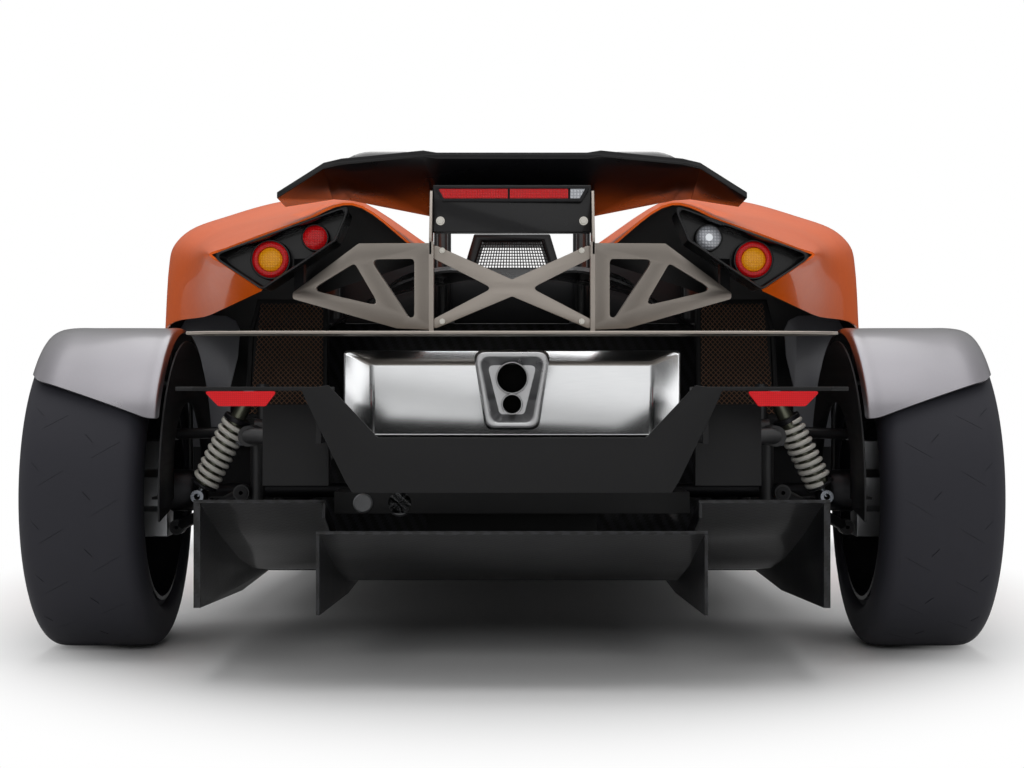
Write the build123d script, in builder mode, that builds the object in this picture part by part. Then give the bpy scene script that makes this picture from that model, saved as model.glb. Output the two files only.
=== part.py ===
"""Open two-seat track sports car with cycle wings over exposed wheels, at full size.

Millimetres. +Y points forward, +X to the driver's right, +Z up. The origin lies on the ground, under the
middle of the car's overall length and width. Right-hand pieces are modelled and mirrored to the left.
Rounds are drawn with few flats, which keeps the whole car's mesh light.
"""

import math
import os

from build123d import *

# Overall layout
wheelbase = 2430.0
front_overhang = 688.0
rear_overhang = 620.0
overall_length = rear_overhang + wheelbase + front_overhang
rear_axle_y = rear_overhang - overall_length / 2
front_axle_y = rear_axle_y + wheelbase
nose_tip_y = front_axle_y + front_overhang
seat_gap = 0.3  # clearance between a piece and what it rests on
bearing_gap = 0.05  # radial running clearance of a hub spindle
wheel_flats = 32  # flats around a tyre, a rim's barrel or a brake disc
hub_flats = 16  # flats around a hub, a lamp or the steering wheel
bar_flats = 8  # flats around a bar or tube

# Wheels: centre distance from the car's middle plane, tyre and rim radii, tyre width
rear_wheel_x = 838.0
rear_tyre_radius = 322.5
rear_rim_radius = 229.0
rear_tyre_width = 238.0
front_wheel_x = 822.0
front_tyre_radius = 298.0
front_rim_radius = 216.0
front_tyre_width = 205.0
bead_height = 11.0
bead_inset = 15.0
barrel_wall = 9.0
rim_lip = 6.0
spoke_forks = 5
spoke_depth = 26.0
spoke_inset = 16.0  # from the rim's outer edge to the spokes' face
disc_radius = 152.0
disc_thickness = 26.0
disc_inboard = 44.0  # from the wheel's middle plane to the disc's inner face
bell_radius = 66.0
bell_face = 12.0
hub_bore_radius = 30.0
spindle_radius = 20.0
upright_near = 62.0  # upright's outer and inner faces, inboard of the wheel's middle plane
upright_far = 122.0
kingpin_inboard = 92.0
ear_high = 105.0  # upright's ears above and below the axle
front_ear_low = 70.0
rear_ear_low = 95.0
lower_ball_z = 246.0
puck_height = 24.0
puck_radius = 18.0
arm_radius = 11.0
bush_radius = 16.0
bush_length = 44.0
steering_arm_length = 100.0
steering_arm_drop = 58.0
rack_radius = 9.0

# Cycle wings
tread_gap = 17.0  # from the rear tread to the outside of its cycle wing
wing_spans = 9
stay_wall = 5.0
stay_half = 11.0
panel_wall = 5.0

# Tub and underfloor, along the car from each axle
floor_bottom = 108.0
floor_thickness = 8.0
tub_bottom = floor_bottom + floor_thickness + seat_gap
tub_floor = 24.0
tub_wall = 45.0
tub_half_width = 575.0
tub_front_y = front_axle_y + 289.0
floor_front_y = front_axle_y + 69.0
cockpit_front_y = front_axle_y - 61.0
knee_y = front_axle_y - 81.0
waist_y = front_axle_y - 421.0
scuttle_rear_y = front_axle_y - 621.0
sill_front_y = scuttle_rear_y - 160.0
sill_low_y = rear_axle_y + 1249.0
tub_rear_y = rear_axle_y + 819.0
cockpit_rear_y = tub_rear_y + tub_wall
shoulder_y = cockpit_rear_y + 65.0
sill_top_z = 700.0
tunnel_half_width = 70.0
tunnel_height = 190.0
front_bush_x = 305.0
bush_pad_x = 232.0
bush_pad_half = 16.0
floor_rear_y = rear_axle_y + 450.0
floor_half_width = 640.0
centre_ramp_half = 348.0
side_ramp_outer = 583.0
ramp_wall = 6.0
splitter_half = 760.0
endplate_wall = 8.0
splitter_rear_y = front_axle_y + 389.0
splitter_corner_y = nose_tip_y - 79.0
tow_eye_x, tow_eye_y, tow_eye_z = 132.0, nose_tip_y - 45.0, 150.0
tow_eye_radius = 14.0
tow_plate_half = 4.0

# Rear frame and engine
rail_x = 505.0
upper_rail_z, lower_rail_z = 445.0, 274.0
upper_rail_radius, lower_rail_radius = 20.0, 16.0
post_radius = 14.0
lower_leg_rear, upper_leg_rear, leg_front = -200.0, -40.0, 150.0
post_front = 400.0
gearbox_half = 170.0
spring_turns = 6
spring_pitch = 24.0

# Tail
tail_blade_top = 640.0
tail_blade_wall = 6.0
skirt_y = rear_axle_y - rear_overhang
skirt_wall = 8.0
skirt_box_y = rear_axle_y - 450.0
bracket_y = rear_axle_y - 470.0
hanger_x = 420.0
frame_wall = 5.0
frame_half = 145.0
wing_rear_y = rear_axle_y - 430.0
wing_post_y = rear_axle_y - 395.0
wing_box_half = frame_half + 2.0
wing_wall = 12.0
panel_rear_y = rear_axle_y - 372.0
panel_rear_wall = 2.0
pod_y = rear_axle_y - 380.0
pod_wall = 1.5
pod_recess = 70.0
pod_depth = 120.0
lamp_recess = 28.0
muffler_rear_y = rear_axle_y - 450.0
muffler_front_y = rear_axle_y - 250.0
muffler_bottom, muffler_top = 447.0, 608.0
muffler_half = 316.0
muffler_bevel = 45.0
cover_top_z = 813.7
radiator_y = rear_axle_y + 420.0

# Cockpit
seat_x = 300.0
seat_half = 190.0
hoop_inner_x, hoop_outer_x = 178.0, 455.0
hoop_top_z = 1118.0
hoop_bend = 95.0
hoop_radius = 22.0
column_x = -260.0
column_tilt = 20.0
column_reach = 250.0
helm_radius = 162.0


def cross_plane(y):
    """Plane across the car at the given station, its local x to the right and y up."""
    return Plane(origin=(0, y, 0), x_dir=(1, 0, 0), z_dir=(0, -1, 0))


def side_plane(x):
    """Plane along the car at the given offset, its local x forward and y up."""
    return Plane(origin=(x, 0, 0), x_dir=(0, 1, 0), z_dir=(1, 0, 0))


def polar(radius, degrees):
    """Point at a radius and an angle."""
    return radius * math.cos(math.radians(degrees)), radius * math.sin(math.radians(degrees))


def both_sides(half):
    """Closed outline from its right half, which starts and ends nearest the middle line."""
    return list(half) + [(-x, y) for x, y in reversed(half) if x > 0]


def round_face(radius, flats):
    """Polygon about a circle, one of its flats square to the sketch's axes."""
    RegularPolygon(radius, flats, major_radius=False, rotation=180 / flats)


def bar(start, end, radius, flats=bar_flats, mode=Mode.ADD):
    """Bar or many-sided bore between two points."""
    reach = Vector(*end) - Vector(*start)
    with BuildSketch(Plane(origin=start, z_dir=reach)) as section:
        round_face(radius, flats)
    extrude(section.sketch, amount=reach.length, mode=mode)


def pin(start, end, radius, mode=Mode.ADD):
    """Round pin or bore between two points."""
    reach = Vector(*end) - Vector(*start)
    with BuildSketch(Plane(origin=start, z_dir=reach)) as section:
        Circle(radius)
    extrude(section.sketch, amount=reach.length, mode=mode)


def wheel_prism(centre, radius, low, high, flats=wheel_flats, mode=Mode.ADD):
    """Many-sided disc about an axle between two offsets along X."""
    with BuildSketch(wheel_plane(centre, low)) as section:
        round_face(radius, flats)
    extrude(section.sketch, amount=high - low, mode=mode)


def wheel_plane(centre, along):
    """Plane square to an axle at an offset along X from the wheel's centre."""
    return Plane(origin=centre, x_dir=(0, 1, 0), z_dir=(1, 0, 0)).offset(along)


def box_between(low, high, mode=Mode.ADD):
    """Block between two opposite corners."""
    size = [abs(b - a) for a, b in zip(low, high)]
    middle = [(a + b) / 2 for a, b in zip(low, high)]
    with Locations(Location(tuple(middle))):
        Box(*size, mode=mode)


def strip(points, wall):
    """Closed outline of a bent strip: the given points and their copies set in by the wall, left of travel."""
    inner = []
    for i, here in enumerate(points):
        before = points[max(i - 1, 0)]
        after = points[min(i + 1, len(points) - 1)]
        first = (here[0] - before[0], here[1] - before[1]) if i else (after[0] - here[0], after[1] - here[1])
        last = (after[0] - here[0], after[1] - here[1]) if i < len(points) - 1 else first
        angle_a = math.atan2(first[1], first[0])
        turn = math.atan2(last[1], last[0]) - angle_a
        turn = (turn + math.pi) % (2 * math.pi) - math.pi
        reach = wall / math.cos(turn / 2)
        aim = angle_a + turn / 2 + math.pi / 2
        inner.append((here[0] + reach * math.cos(aim), here[1] + reach * math.sin(aim)))
    return list(points) + inner[::-1]


def flat_faces(a, b, c, d):
    """One flat face through four corners, or two that meet on the line from a to c where they don't lie flat."""
    a, b, c, d = Vector(*a), Vector(*b), Vector(*c), Vector(*d)
    normal = (c - a).cross(b - a).normalized()
    if abs((d - a).dot(normal)) < 1e-5:
        return [Face(Wire.make_polygon([a, b, c, d]))]
    return [Face(Wire.make_polygon([a, b, c])), Face(Wire.make_polygon([a, c, d]))]


def facet_loft(sections, mode=Mode.ADD):
    """Solid in flat facets through closed outlines of equally many points, added to the part being built.

    Each outline runs out along one skin and back along the other. Both skins' facets are split the same way,
    so a thin wall keeps its thickness.
    """
    count = len(sections[0])
    faces = [Face(Wire.make_polygon([Vector(*p) for p in end])) for end in (sections[0], sections[-1])]
    for first, last in zip(sections, sections[1:]):
        for i in range(count):
            j = (i + 1) % count
            if i < count / 2:
                faces += flat_faces(first[i], first[j], last[j], last[i])
            else:
                faces += flat_faces(first[j], first[i], last[i], last[j])
    add(Solid(Shell(faces)), mode=mode)


def skin(stations, wall, last_wall=None):
    """Sheet through stations of (y, [(x, z), ...]), its wall on the left of each outline's travel."""
    walls = [wall] * (len(stations) - 1) + [last_wall or wall]
    facet_loft([[(x, y, z) for x, z in strip(points, w)] for (y, points), w in zip(stations, walls)])


def hoop(path, radius, y):
    """Mitred tube along a path of (x, z) points in the cross plane at y."""
    sections = []
    for i, here in enumerate(path):
        before, after = path[max(i - 1, 0)], path[min(i + 1, len(path) - 1)]
        into = math.atan2(here[1] - before[1], here[0] - before[0])
        out = math.atan2(after[1] - here[1], after[0] - here[0])
        into = out if before == here else into
        out = into if after == here else out
        aim = (into + out) / 2 + math.pi / 2
        ring = []
        for step in range(bar_flats):
            across, deep = polar(radius / math.cos(math.pi / bar_flats), (step + 0.5) * 360 / bar_flats)
            reach = across / math.cos((out - into) / 2)
            ring.append((here[0] + reach * math.cos(aim), y + deep, here[1] + reach * math.sin(aim)))
        sections.append(ring)
    facet_loft(sections)


def keep(part, name):
    """Labels a finished piece and writes it as its own file."""
    part.label = name
    export_step(part, f"parts/{name}.step")


def keep_mirrored(part, name):
    """Writes the left-hand twin of a right-hand piece."""
    twin = mirror(part, about=Plane.YZ, mode=Mode.PRIVATE)
    keep(twin, name)


def make_tyre(centre, radius, rim_radius, width):
    """Slick tyre with rounded shoulders and its beads inside the rim's lips."""
    half = width / 2
    side = radius - rim_radius
    shoulder = [
        (half - bead_inset, rim_radius + bead_height), (half, rim_radius + 0.46 * side),
        (half - 6, rim_radius + 0.8 * side), (half - 21, radius - 3.5), (half - 49, radius),
    ]
    corner = 1 / math.cos(math.pi / wheel_flats)
    with BuildPart() as tyre:
        rings = []
        for along, height in [(-along, height) for along, height in shoulder] + shoulder[::-1]:
            ring = [polar(height * corner, (step + 0.5) * 360 / wheel_flats) for step in range(wheel_flats)]
            rings.append([(centre[0] + along, centre[1] + y, centre[2] + z) for y, z in ring])
        facet_loft(rings)
        wheel_prism(centre, rim_radius, -half, half, mode=Mode.SUBTRACT)
    return tyre.part


def make_rim(centre, rim_radius, width):
    """Barrel with an outer lip, a hub pad and five forked spokes set near its outer face."""
    bead = width / 2 - bead_inset + seat_gap
    lip = bead + rim_lip
    inner = rim_radius - barrel_wall
    lip_radius = rim_radius + bead_height - 2
    spoke_rear = lip - spoke_inset - spoke_depth
    pad_face = seat_gap - bell_face
    with BuildPart() as rim:
        wheel_prism(centre, rim_radius - seat_gap, -lip, lip)
        wheel_prism(centre, lip_radius, bead, lip)
        wheel_prism(centre, inner, -lip, lip, mode=Mode.SUBTRACT)
        with BuildSketch(wheel_plane(centre, spoke_rear)) as spokes:
            with PolarLocations(0, spoke_forks):
                for side in (-1, 1):
                    Polygon(
                        polar(54, -4 * side), polar(54, 14 * side), polar(inner + 4, 15.5 * side),
                        polar(inner + 4, 9.5 * side), polar(120, 2 * side),
                    )
            round_face(bell_radius, hub_flats)
        extrude(spokes.sketch, amount=spoke_depth)
        wheel_prism(centre, bell_radius - 4, pad_face, spoke_rear, hub_flats)
        wheel_prism(centre, hub_bore_radius, pad_face, lip, hub_flats, mode=Mode.SUBTRACT)
    return rim.part


def make_hub(centre):
    """Brake disc, its bell and the hub spindle that turns in the upright."""
    inner_face = -disc_inboard
    outer_face = inner_face + disc_thickness
    x, y, z = centre
    with BuildPart() as hub:
        wheel_prism(centre, disc_radius, inner_face, outer_face)
        wheel_prism(centre, bell_radius, outer_face, -bell_face, hub_flats)
        wheel_prism(centre, hub_bore_radius + 4, seat_gap - upright_near, inner_face, hub_flats)
        pin((x - upright_far + 6, y, z), (x + inner_face, y, z), spindle_radius)
    return hub.part


def add_upright(centre, caliper_side, ear_low):
    """Upright with ears above and below the axle, and a brake caliper astride the disc."""
    x, y, z = centre
    near_x, far_x = x - upright_near, x - upright_far
    half_outline = [(34, -ear_low), (34, -42), (58, -30), (58, 30), (34, 45), (34, ear_high)]
    with BuildSketch(wheel_plane(centre, -upright_far)) as plate:
        Polygon(*both_sides(half_outline))
    extrude(plate.sketch, amount=near_x - far_x)
    disc_low = x - disc_inboard
    disc_high = disc_low + disc_thickness
    edge_y, tip_y = y + caliper_side * (disc_radius - 44), y + caliper_side * (disc_radius + 20)
    box_between((disc_low - 26, edge_y, z - 62), (disc_high + 22, tip_y, z + 62))
    open_y, shut_y = edge_y - caliper_side * 20, y + caliper_side * (disc_radius + 7)
    box_between((disc_low - 4, open_y, z - 75), (disc_high + 4, shut_y, z + 75), mode=Mode.SUBTRACT)
    box_between((disc_low - 26, y + caliper_side * 50, z - 26), (disc_low - 8, edge_y + caliper_side * 17, z + 26))
    pin((far_x - 1, y, z), (near_x + 1, y, z), spindle_radius + bearing_gap, mode=Mode.SUBTRACT)


def make_fender(centre, radius, x_low, x_high, rear_outer, rear_inner, front_angle, stays):
    """Cycle wing: a band crowned at its outer side, whose slanted rear edge hangs lower on its inner side.

    Angles are in degrees above the horizontal behind the axle. The stays reach to the upright.
    """
    x, y, z = centre
    crown = strip([
        (x_high - x, radius - 17), (x_high - x - 12, radius - 6), (x_high - x - 34, radius),
        (x_low - x + 6, radius), (x_low - x, radius - 9),
    ], panel_wall)
    with BuildPart() as fender:
        first_angle = rear_inner - 5
        sections = []
        for i in range(wing_spans + 1):
            back, up = polar(1, first_angle + i * (front_angle - first_angle) / wing_spans)
            sections.append([(x + along, y - back * height, z + up * height) for along, height in crown])
        facet_loft(sections)
        outer_back, outer_up = polar(radius, rear_outer)
        inner_back, inner_up = polar(radius, rear_inner)
        outer_point = Vector(x_high, y - outer_back, z + outer_up)
        inner_point = Vector(x_low, y - inner_back, z + inner_up)
        slant = (inner_point - outer_point).normalized()
        middle = (outer_point + inner_point) * 0.5
        below_edge = slant.cross(Vector(0, middle.Y - y, middle.Z - z).normalized())
        if below_edge.Z > 0:
            below_edge = below_edge * -1
        with BuildSketch(Plane(origin=middle, x_dir=slant, z_dir=below_edge)) as below:
            Rectangle(2 * radius, 2 * radius)
        extrude(below.sketch, amount=radius / 2, mode=Mode.SUBTRACT)
        seat_x = x - upright_far + 15
        stay_x = x_low + 7
        foot_z = z - 12
        for along in stays:
            top_z = z + math.sqrt((radius - 6.5) ** 2 - along ** 2)
            reach_y = y + math.copysign(58 + seat_gap, along)
            low_y, high_y = y + along - stay_half, y + along + stay_half
            box_between((stay_x, low_y, foot_z), (stay_x + stay_wall, high_y, top_z))
            box_between((stay_x, low_y, foot_z), (seat_x, high_y, foot_z + stay_wall))
            box_between((seat_x - 2 * stay_half, y + along, foot_z), (seat_x, reach_y, foot_z + stay_wall))
    return fender.part


os.makedirs("parts", exist_ok=True)
rear_centre = (rear_wheel_x, rear_axle_y, rear_tyre_radius)
front_centre = (front_wheel_x, front_axle_y, front_tyre_radius)

# Wheels
for place, centre, radius, rim_radius, width in (
    ("rear", rear_centre, rear_tyre_radius, rear_rim_radius, rear_tyre_width),
    ("front", front_centre, front_tyre_radius, front_rim_radius, front_tyre_width),
):
    tyre = make_tyre(centre, radius, rim_radius, width)
    keep(tyre, f"tyre_{place}_right")
    keep_mirrored(tyre, f"tyre_{place}_left")
    rim = make_rim(centre, rim_radius, width)
    keep(rim, f"rim_{place}_right")
    keep_mirrored(rim, f"rim_{place}_left")
    hub = make_hub(centre)
    keep(hub, f"brake_disc_{place}_right")
    keep_mirrored(hub, f"brake_disc_{place}_left")

# Uprights: the front pair steers, the rear pair is fixed
arm_x = front_wheel_x - kingpin_inboard - 10
arm_y = front_axle_y + steering_arm_length
arm_z = front_tyre_radius - steering_arm_drop
with BuildPart() as front_upright:
    add_upright(front_centre, -1, front_ear_low)
    bar((arm_x, front_axle_y + 10, arm_z), (arm_x, arm_y, arm_z), 9)
    bar((arm_x, arm_y, arm_z - 10), (arm_x, arm_y, arm_z + 10), 15)
keep(front_upright.part, "upright_front_right")
keep_mirrored(front_upright.part, "upright_front_left")

with BuildPart() as rear_upright:
    add_upright(rear_centre, 1, rear_ear_low)
    mirror(about=Plane.YZ)
keep(rear_upright.part, "uprights_rear")

# Cycle wings: the front pair steers with the uprights, the rear pair is fixed
front_fender = make_fender(
    front_centre, front_tyre_radius + tread_gap + 3, front_wheel_x - 126, front_wheel_x + 112, 30, 14, 138,
    (-110, 110),
)
keep(front_fender, "fender_front_right")
keep_mirrored(front_fender, "fender_front_left")

rear_fender = make_fender(
    rear_centre, rear_tyre_radius + tread_gap, rear_wheel_x - 155, rear_wheel_x + 110, 44, 26, 132, (-110, 110),
)
with BuildPart() as rear_fenders:
    add(rear_fender)
    mirror(about=Plane.YZ)
keep(rear_fenders.part, "fenders_rear")

# Carbon tub: plan outline and side outline crossed, then hollowed from above
tub_plan = [
    (210, tub_front_y), (270, knee_y), (340, waist_y), (520, scuttle_rear_y), (tub_half_width, scuttle_rear_y - 360),
    (tub_half_width, cockpit_rear_y + 35), (540, tub_rear_y),
]
sill_tops = {sill_front_y: 540.0, sill_low_y: 520.0, shoulder_y: 640.0, cockpit_rear_y: sill_top_z}
tub_top = [
    (tub_front_y, 430), (knee_y, 520), (waist_y, 600), (scuttle_rear_y, 640), *sill_tops.items(),
    (tub_rear_y, sill_top_z),
]
cavity_plan = [
    (215, cockpit_front_y), (290, waist_y - 15), (475, scuttle_rear_y - 20), (530, scuttle_rear_y - 370),
    (530, cockpit_rear_y + 50), (455, cockpit_rear_y),
]
open_top_z = sill_top_z + 200
rack_z = arm_z + 22
with BuildPart() as tub:
    with BuildSketch(Plane.XY.offset(tub_bottom)) as plan:
        Polygon(*both_sides(tub_plan))
    extrude(plan.sketch, amount=open_top_z)
    with BuildSketch(side_plane(0)) as side:
        Polygon((tub_rear_y, tub_bottom), (knee_y, tub_bottom), (tub_front_y, tub_bottom + 49), *tub_top)
    extrude(side.sketch, amount=2 * tub_half_width, both=True, mode=Mode.INTERSECT)
    with BuildPart(mode=Mode.PRIVATE) as cavity:
        with BuildSketch(Plane.XY.offset(tub_bottom + tub_floor)) as plan:
            Polygon(*both_sides(cavity_plan))
        extrude(plan.sketch, amount=open_top_z)
        with BuildSketch(side_plane(0)) as side:
            Polygon(
                (cockpit_rear_y, tub_bottom), (cockpit_front_y, tub_bottom), (cockpit_front_y, 470), (knee_y, 476),
                (waist_y, 556), (scuttle_rear_y, 598), (scuttle_rear_y, open_top_z), (cockpit_rear_y, open_top_z),
            )
        extrude(side.sketch, amount=2 * tub_half_width, both=True, mode=Mode.INTERSECT)
    add(cavity.part, mode=Mode.SUBTRACT)
    box_between(
        (-165, cockpit_front_y + tub_wall, tub_bottom + 50), (165, tub_front_y - 40, sill_top_z),
        mode=Mode.SUBTRACT,
    )
    box_between(
        (-tunnel_half_width, cockpit_rear_y, tub_bottom + tub_floor - 4),
        (tunnel_half_width, scuttle_rear_y - 80, tub_bottom + tunnel_height),
    )
    bar((-front_bush_x, arm_y, rack_z), (front_bush_x, arm_y, rack_z), rack_radius + 17, mode=Mode.SUBTRACT)
    for along in (-120, 120):
        for height in (front_tyre_radius + ear_high + 12, front_tyre_radius - front_ear_low - 12):
            for side in (-1, 1):
                box_between(
                    (side * bush_pad_x, front_axle_y + along - 20, height - bush_pad_half),
                    (side * (front_bush_x - bush_radius - seat_gap), front_axle_y + along + 20,
                     height + bush_pad_half),
                )
keep(tub.part, "tub")

with BuildPart() as underfloor:
    floor_plan = [
        (240, floor_front_y), (300, knee_y - 100), (520, waist_y), (floor_half_width, scuttle_rear_y + 40),
        (floor_half_width, floor_rear_y + 240), (590, floor_rear_y),
    ]
    with BuildSketch(Plane.XY.offset(floor_bottom)) as plan:
        Polygon(*both_sides(floor_plan))
    extrude(plan.sketch, amount=floor_thickness)
keep(underfloor.part, "underfloor")

# Diffusers: a middle ramp and two side ramps, each with fins hanging below it
ramp_front_y = floor_rear_y - seat_gap
ramp_front_z = floor_bottom + floor_thickness
centre_ramp = [
    (ramp_front_y, ramp_front_z), (rear_axle_y + 200, 122), (rear_axle_y - 50, 145), (rear_axle_y - 300, 200),
    (rear_axle_y - 580, 284),
]
side_ramp = [
    (ramp_front_y, ramp_front_z), (rear_axle_y + 200, 145), (rear_axle_y, 185), (rear_axle_y - 240, 252),
    (rear_axle_y - 480, 333),
]


def fin(ramp, rear_z, heel, x_low, x_high):
    """Upright fin below a ramp, its lower edge straight from the heel to the given height at the rear."""
    with BuildSketch(side_plane(x_low)) as outline:
        Polygon(*[(y, z - 1) for y, z in ramp], (ramp[-1][0], rear_z), heel, (ramp_front_y, floor_bottom))
    extrude(outline.sketch, amount=x_high - x_low)


with BuildPart() as diffusers:
    inner_fin_x = centre_ramp_half - ramp_wall
    with BuildSketch(side_plane(0)) as middle:
        Polygon(*strip(centre_ramp, ramp_wall))
    extrude(middle.sketch, amount=centre_ramp_half, both=True)
    with BuildSketch(side_plane(inner_fin_x)) as flank:
        Polygon(*strip(side_ramp, ramp_wall))
    extrude(flank.sketch, amount=side_ramp_outer - inner_fin_x)
    fin(side_ramp, 135, (rear_axle_y + 41, floor_bottom), side_ramp_outer - 2 * ramp_wall, side_ramp_outer)
    fin(side_ramp, 300, (rear_axle_y + 41, ramp_front_z - 4), inner_fin_x, centre_ramp_half)
    fin(centre_ramp, 134, (rear_axle_y - 10, floor_bottom), inner_fin_x, centre_ramp_half)
    mirror(about=Plane.YZ)
keep(diffusers.part, "diffusers")

# Suspension: wishbones from bushes on the tub or the rear frame to each upright
with BuildPart() as wishbones:
    kingpin_x = front_wheel_x - kingpin_inboard
    ear_top_z = front_tyre_radius + ear_high
    ear_foot_z = front_tyre_radius - front_ear_low
    for puck_z, leg_z in ((ear_top_z + seat_gap, ear_top_z + 12), (ear_foot_z - seat_gap - puck_height, ear_foot_z - 12)):
        bar((kingpin_x, front_axle_y, puck_z), (kingpin_x, front_axle_y, puck_z + puck_height), puck_radius)
        for along in (-120, 120):
            x, y = front_bush_x, front_axle_y + along
            bar((kingpin_x, front_axle_y, leg_z), (x, y, leg_z), arm_radius)
            bar((x, y - bush_length / 2, leg_z), (x, y + bush_length / 2, leg_z), bush_radius)
    ball = (rear_wheel_x - kingpin_inboard, rear_axle_y, rear_tyre_radius + ear_high + 12)
    bar((ball[0], ball[1], ball[2] - 12 + seat_gap), (ball[0], ball[1], ball[2] + 12), puck_radius)
    knuckle = (rear_wheel_x - upright_far - bush_radius - seat_gap, rear_axle_y, lower_ball_z)
    bar((knuckle[0], knuckle[1] - 22, knuckle[2]), (knuckle[0], knuckle[1] + 22, knuckle[2]), bush_radius)
    for outer_point, tube, height, legs in (
        (ball, upper_rail_radius, upper_rail_z, (upper_leg_rear, leg_front)),
        (knuckle, post_radius, 330, (lower_leg_rear, leg_front)),
    ):
        x = rail_x + tube + bush_radius + seat_gap
        for along in legs:
            y = rear_axle_y + along
            bar(outer_point, (x, y, height), arm_radius)
            bar((x, y - bush_length / 2, height), (x, y + bush_length / 2, height), bush_radius)
    mirror(about=Plane.YZ)
keep(wishbones.part, "wishbones")

with BuildPart() as steering_rack:
    bar((-arm_x, arm_y, rack_z), (arm_x, arm_y, rack_z), rack_radius)
    bar((arm_x, arm_y, arm_z + 10 + seat_gap), (arm_x, arm_y, rack_z + 12), 14)
    mirror(about=Plane.YZ)
keep(steering_rack.part, "steering_rack")

# Rear frame: upper and lower rails and the posts that carry the rear suspension
rail_front_y = tub_rear_y - seat_gap
with BuildPart() as rear_subframe:
    bar((rail_x, rail_front_y, upper_rail_z), (rail_x, rear_axle_y - 330, upper_rail_z), upper_rail_radius)
    bar((rail_x, rail_front_y, lower_rail_z), (rail_x, rear_axle_y - 216, lower_rail_z), lower_rail_radius)
    for along in (lower_leg_rear, leg_front, post_front):
        bar((rail_x, rear_axle_y + along, lower_rail_z), (rail_x, rear_axle_y + along, upper_rail_z), post_radius)
    bar((rail_x, rear_axle_y - 120, upper_rail_z), (rail_x, rear_axle_y - 120, 545), 12.7)
    elbow = (hanger_x, skirt_box_y + 50, upper_rail_z)
    bar((rail_x, rear_axle_y - 320, upper_rail_z), elbow, 16)
    bar(elbow, (elbow[0], skirt_box_y + seat_gap, upper_rail_z), 16)
    cross_y = muffler_front_y + 17 + seat_gap
    bar((-1, cross_y, upper_rail_z + 14), (rail_x, cross_y, upper_rail_z + 14), 17)
    mirror(about=Plane.YZ)
keep(rear_subframe.part, "rear_subframe")

# Coilovers: damper, the spring's turns as rings, and an eye at each end
with BuildPart() as coilovers:
    foot = Vector(640, rear_axle_y - 103, 316)
    head = Vector(532, rear_axle_y - 120, 523)
    lean = (head - foot).normalized()
    for eye in (foot, head):
        bar((eye.X, eye.Y - 15, eye.Z), (eye.X, eye.Y + 15, eye.Z), 14)
    bar(tuple(foot), tuple(head), 12)
    bar(tuple(foot + lean * 24), tuple(head - lean * 56), 20)
    for turn in range(spring_turns):
        low = foot + lean * (30 + spring_pitch * turn)
        bar(tuple(low), tuple(low + lean * spring_pitch / 2), 28)
    mirror(about=Plane.YZ)
keep(coilovers.part, "coilovers")

with BuildPart() as driveshafts:
    far = rear_wheel_x - upright_far - seat_gap
    near = gearbox_half + seat_gap
    for low, high, radius in ((near, far, 15), (near, near + 70, 48), (far - 70, far, 44)):
        bar((low, rear_axle_y, rear_tyre_radius), (high, rear_axle_y, rear_tyre_radius), radius)
    mirror(about=Plane.YZ)
keep(driveshafts.part, "driveshafts")

# Engine and gearbox: plain castings on the floor behind the tub
with BuildPart() as engine:
    block_rear_y, block_front_y = rear_axle_y + 330, tub_rear_y - 6
    box_between((-190, block_rear_y, 175), (190, block_front_y, 610))
    box_between((-gearbox_half, rear_axle_y - 150, 232), (gearbox_half, block_rear_y + 2, 420))
    box_between((-340, rear_axle_y - 330, 297), (340, rear_axle_y - 149, 338))
    box_between((-120, floor_rear_y + 10, tub_bottom), (120, block_front_y - 34, 176))
keep(engine.part, "engine")

# Orange side panels: one bent skin from the cockpit sill over the rear deck to the tail lamps
panel_stations = [
    (scuttle_rear_y + 40, [(545, 560), (538, 597), (570, 596.5), (600, 595), (640, 586), (662, 556), (672, 520),
                           (655, 340)]),
    (sill_low_y, [(547, 520), (558, 605), (582, 613), (620, 608), (668, 596), (702, 562), (718, 516), (700, 300)]),
    (rear_axle_y + 799, [(519, 745), (520, 800), (600, 798), (660, 782), (710, 757), (752, 722), (768, 680),
                         (748, 400)]),
    (rear_axle_y + 372, [(186, 838), (390, 966), (540, 955), (654, 922), (744, 888), (779, 853), (790, 804),
                         (799, 658)]),
    (rear_axle_y, [(180, 830), (346, 924), (450, 905), (560, 881), (625, 857), (662, 826), (664, 778), (632, 690)]),
    (panel_rear_y, [(176, 800), (302, 887.5), (400, 854), (480, 826), (540, 803), (572.5, 790), (541, 767),
                    (474, 720.5)]),
]


def between(stations, y):
    """Points of the skin's outline at a station between two given ones."""
    for (front_y, front), (back_y, back) in zip(stations, stations[1:]):
        if back_y <= y <= front_y:
            share = (front_y - y) / (front_y - back_y)
            return [(a[0] + share * (b[0] - a[0]), a[1] + share * (b[1] - a[1])) for a, b in zip(front, back)]
    raise ValueError("station outside the outline")


with BuildPart() as side_panel:
    stations = dict(panel_stations)
    for y, top in sill_tops.items():
        points = between(panel_stations, y)
        stations[y] = [(points[0][0], top + 3 * seat_gap)] + points[1:]
    skin([(y, stations[y][::-1]) for y in sorted(stations, reverse=True)], panel_wall, panel_rear_wall)
keep(side_panel.part, "side_panel_right")
keep_mirrored(side_panel.part, "side_panel_left")

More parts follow.
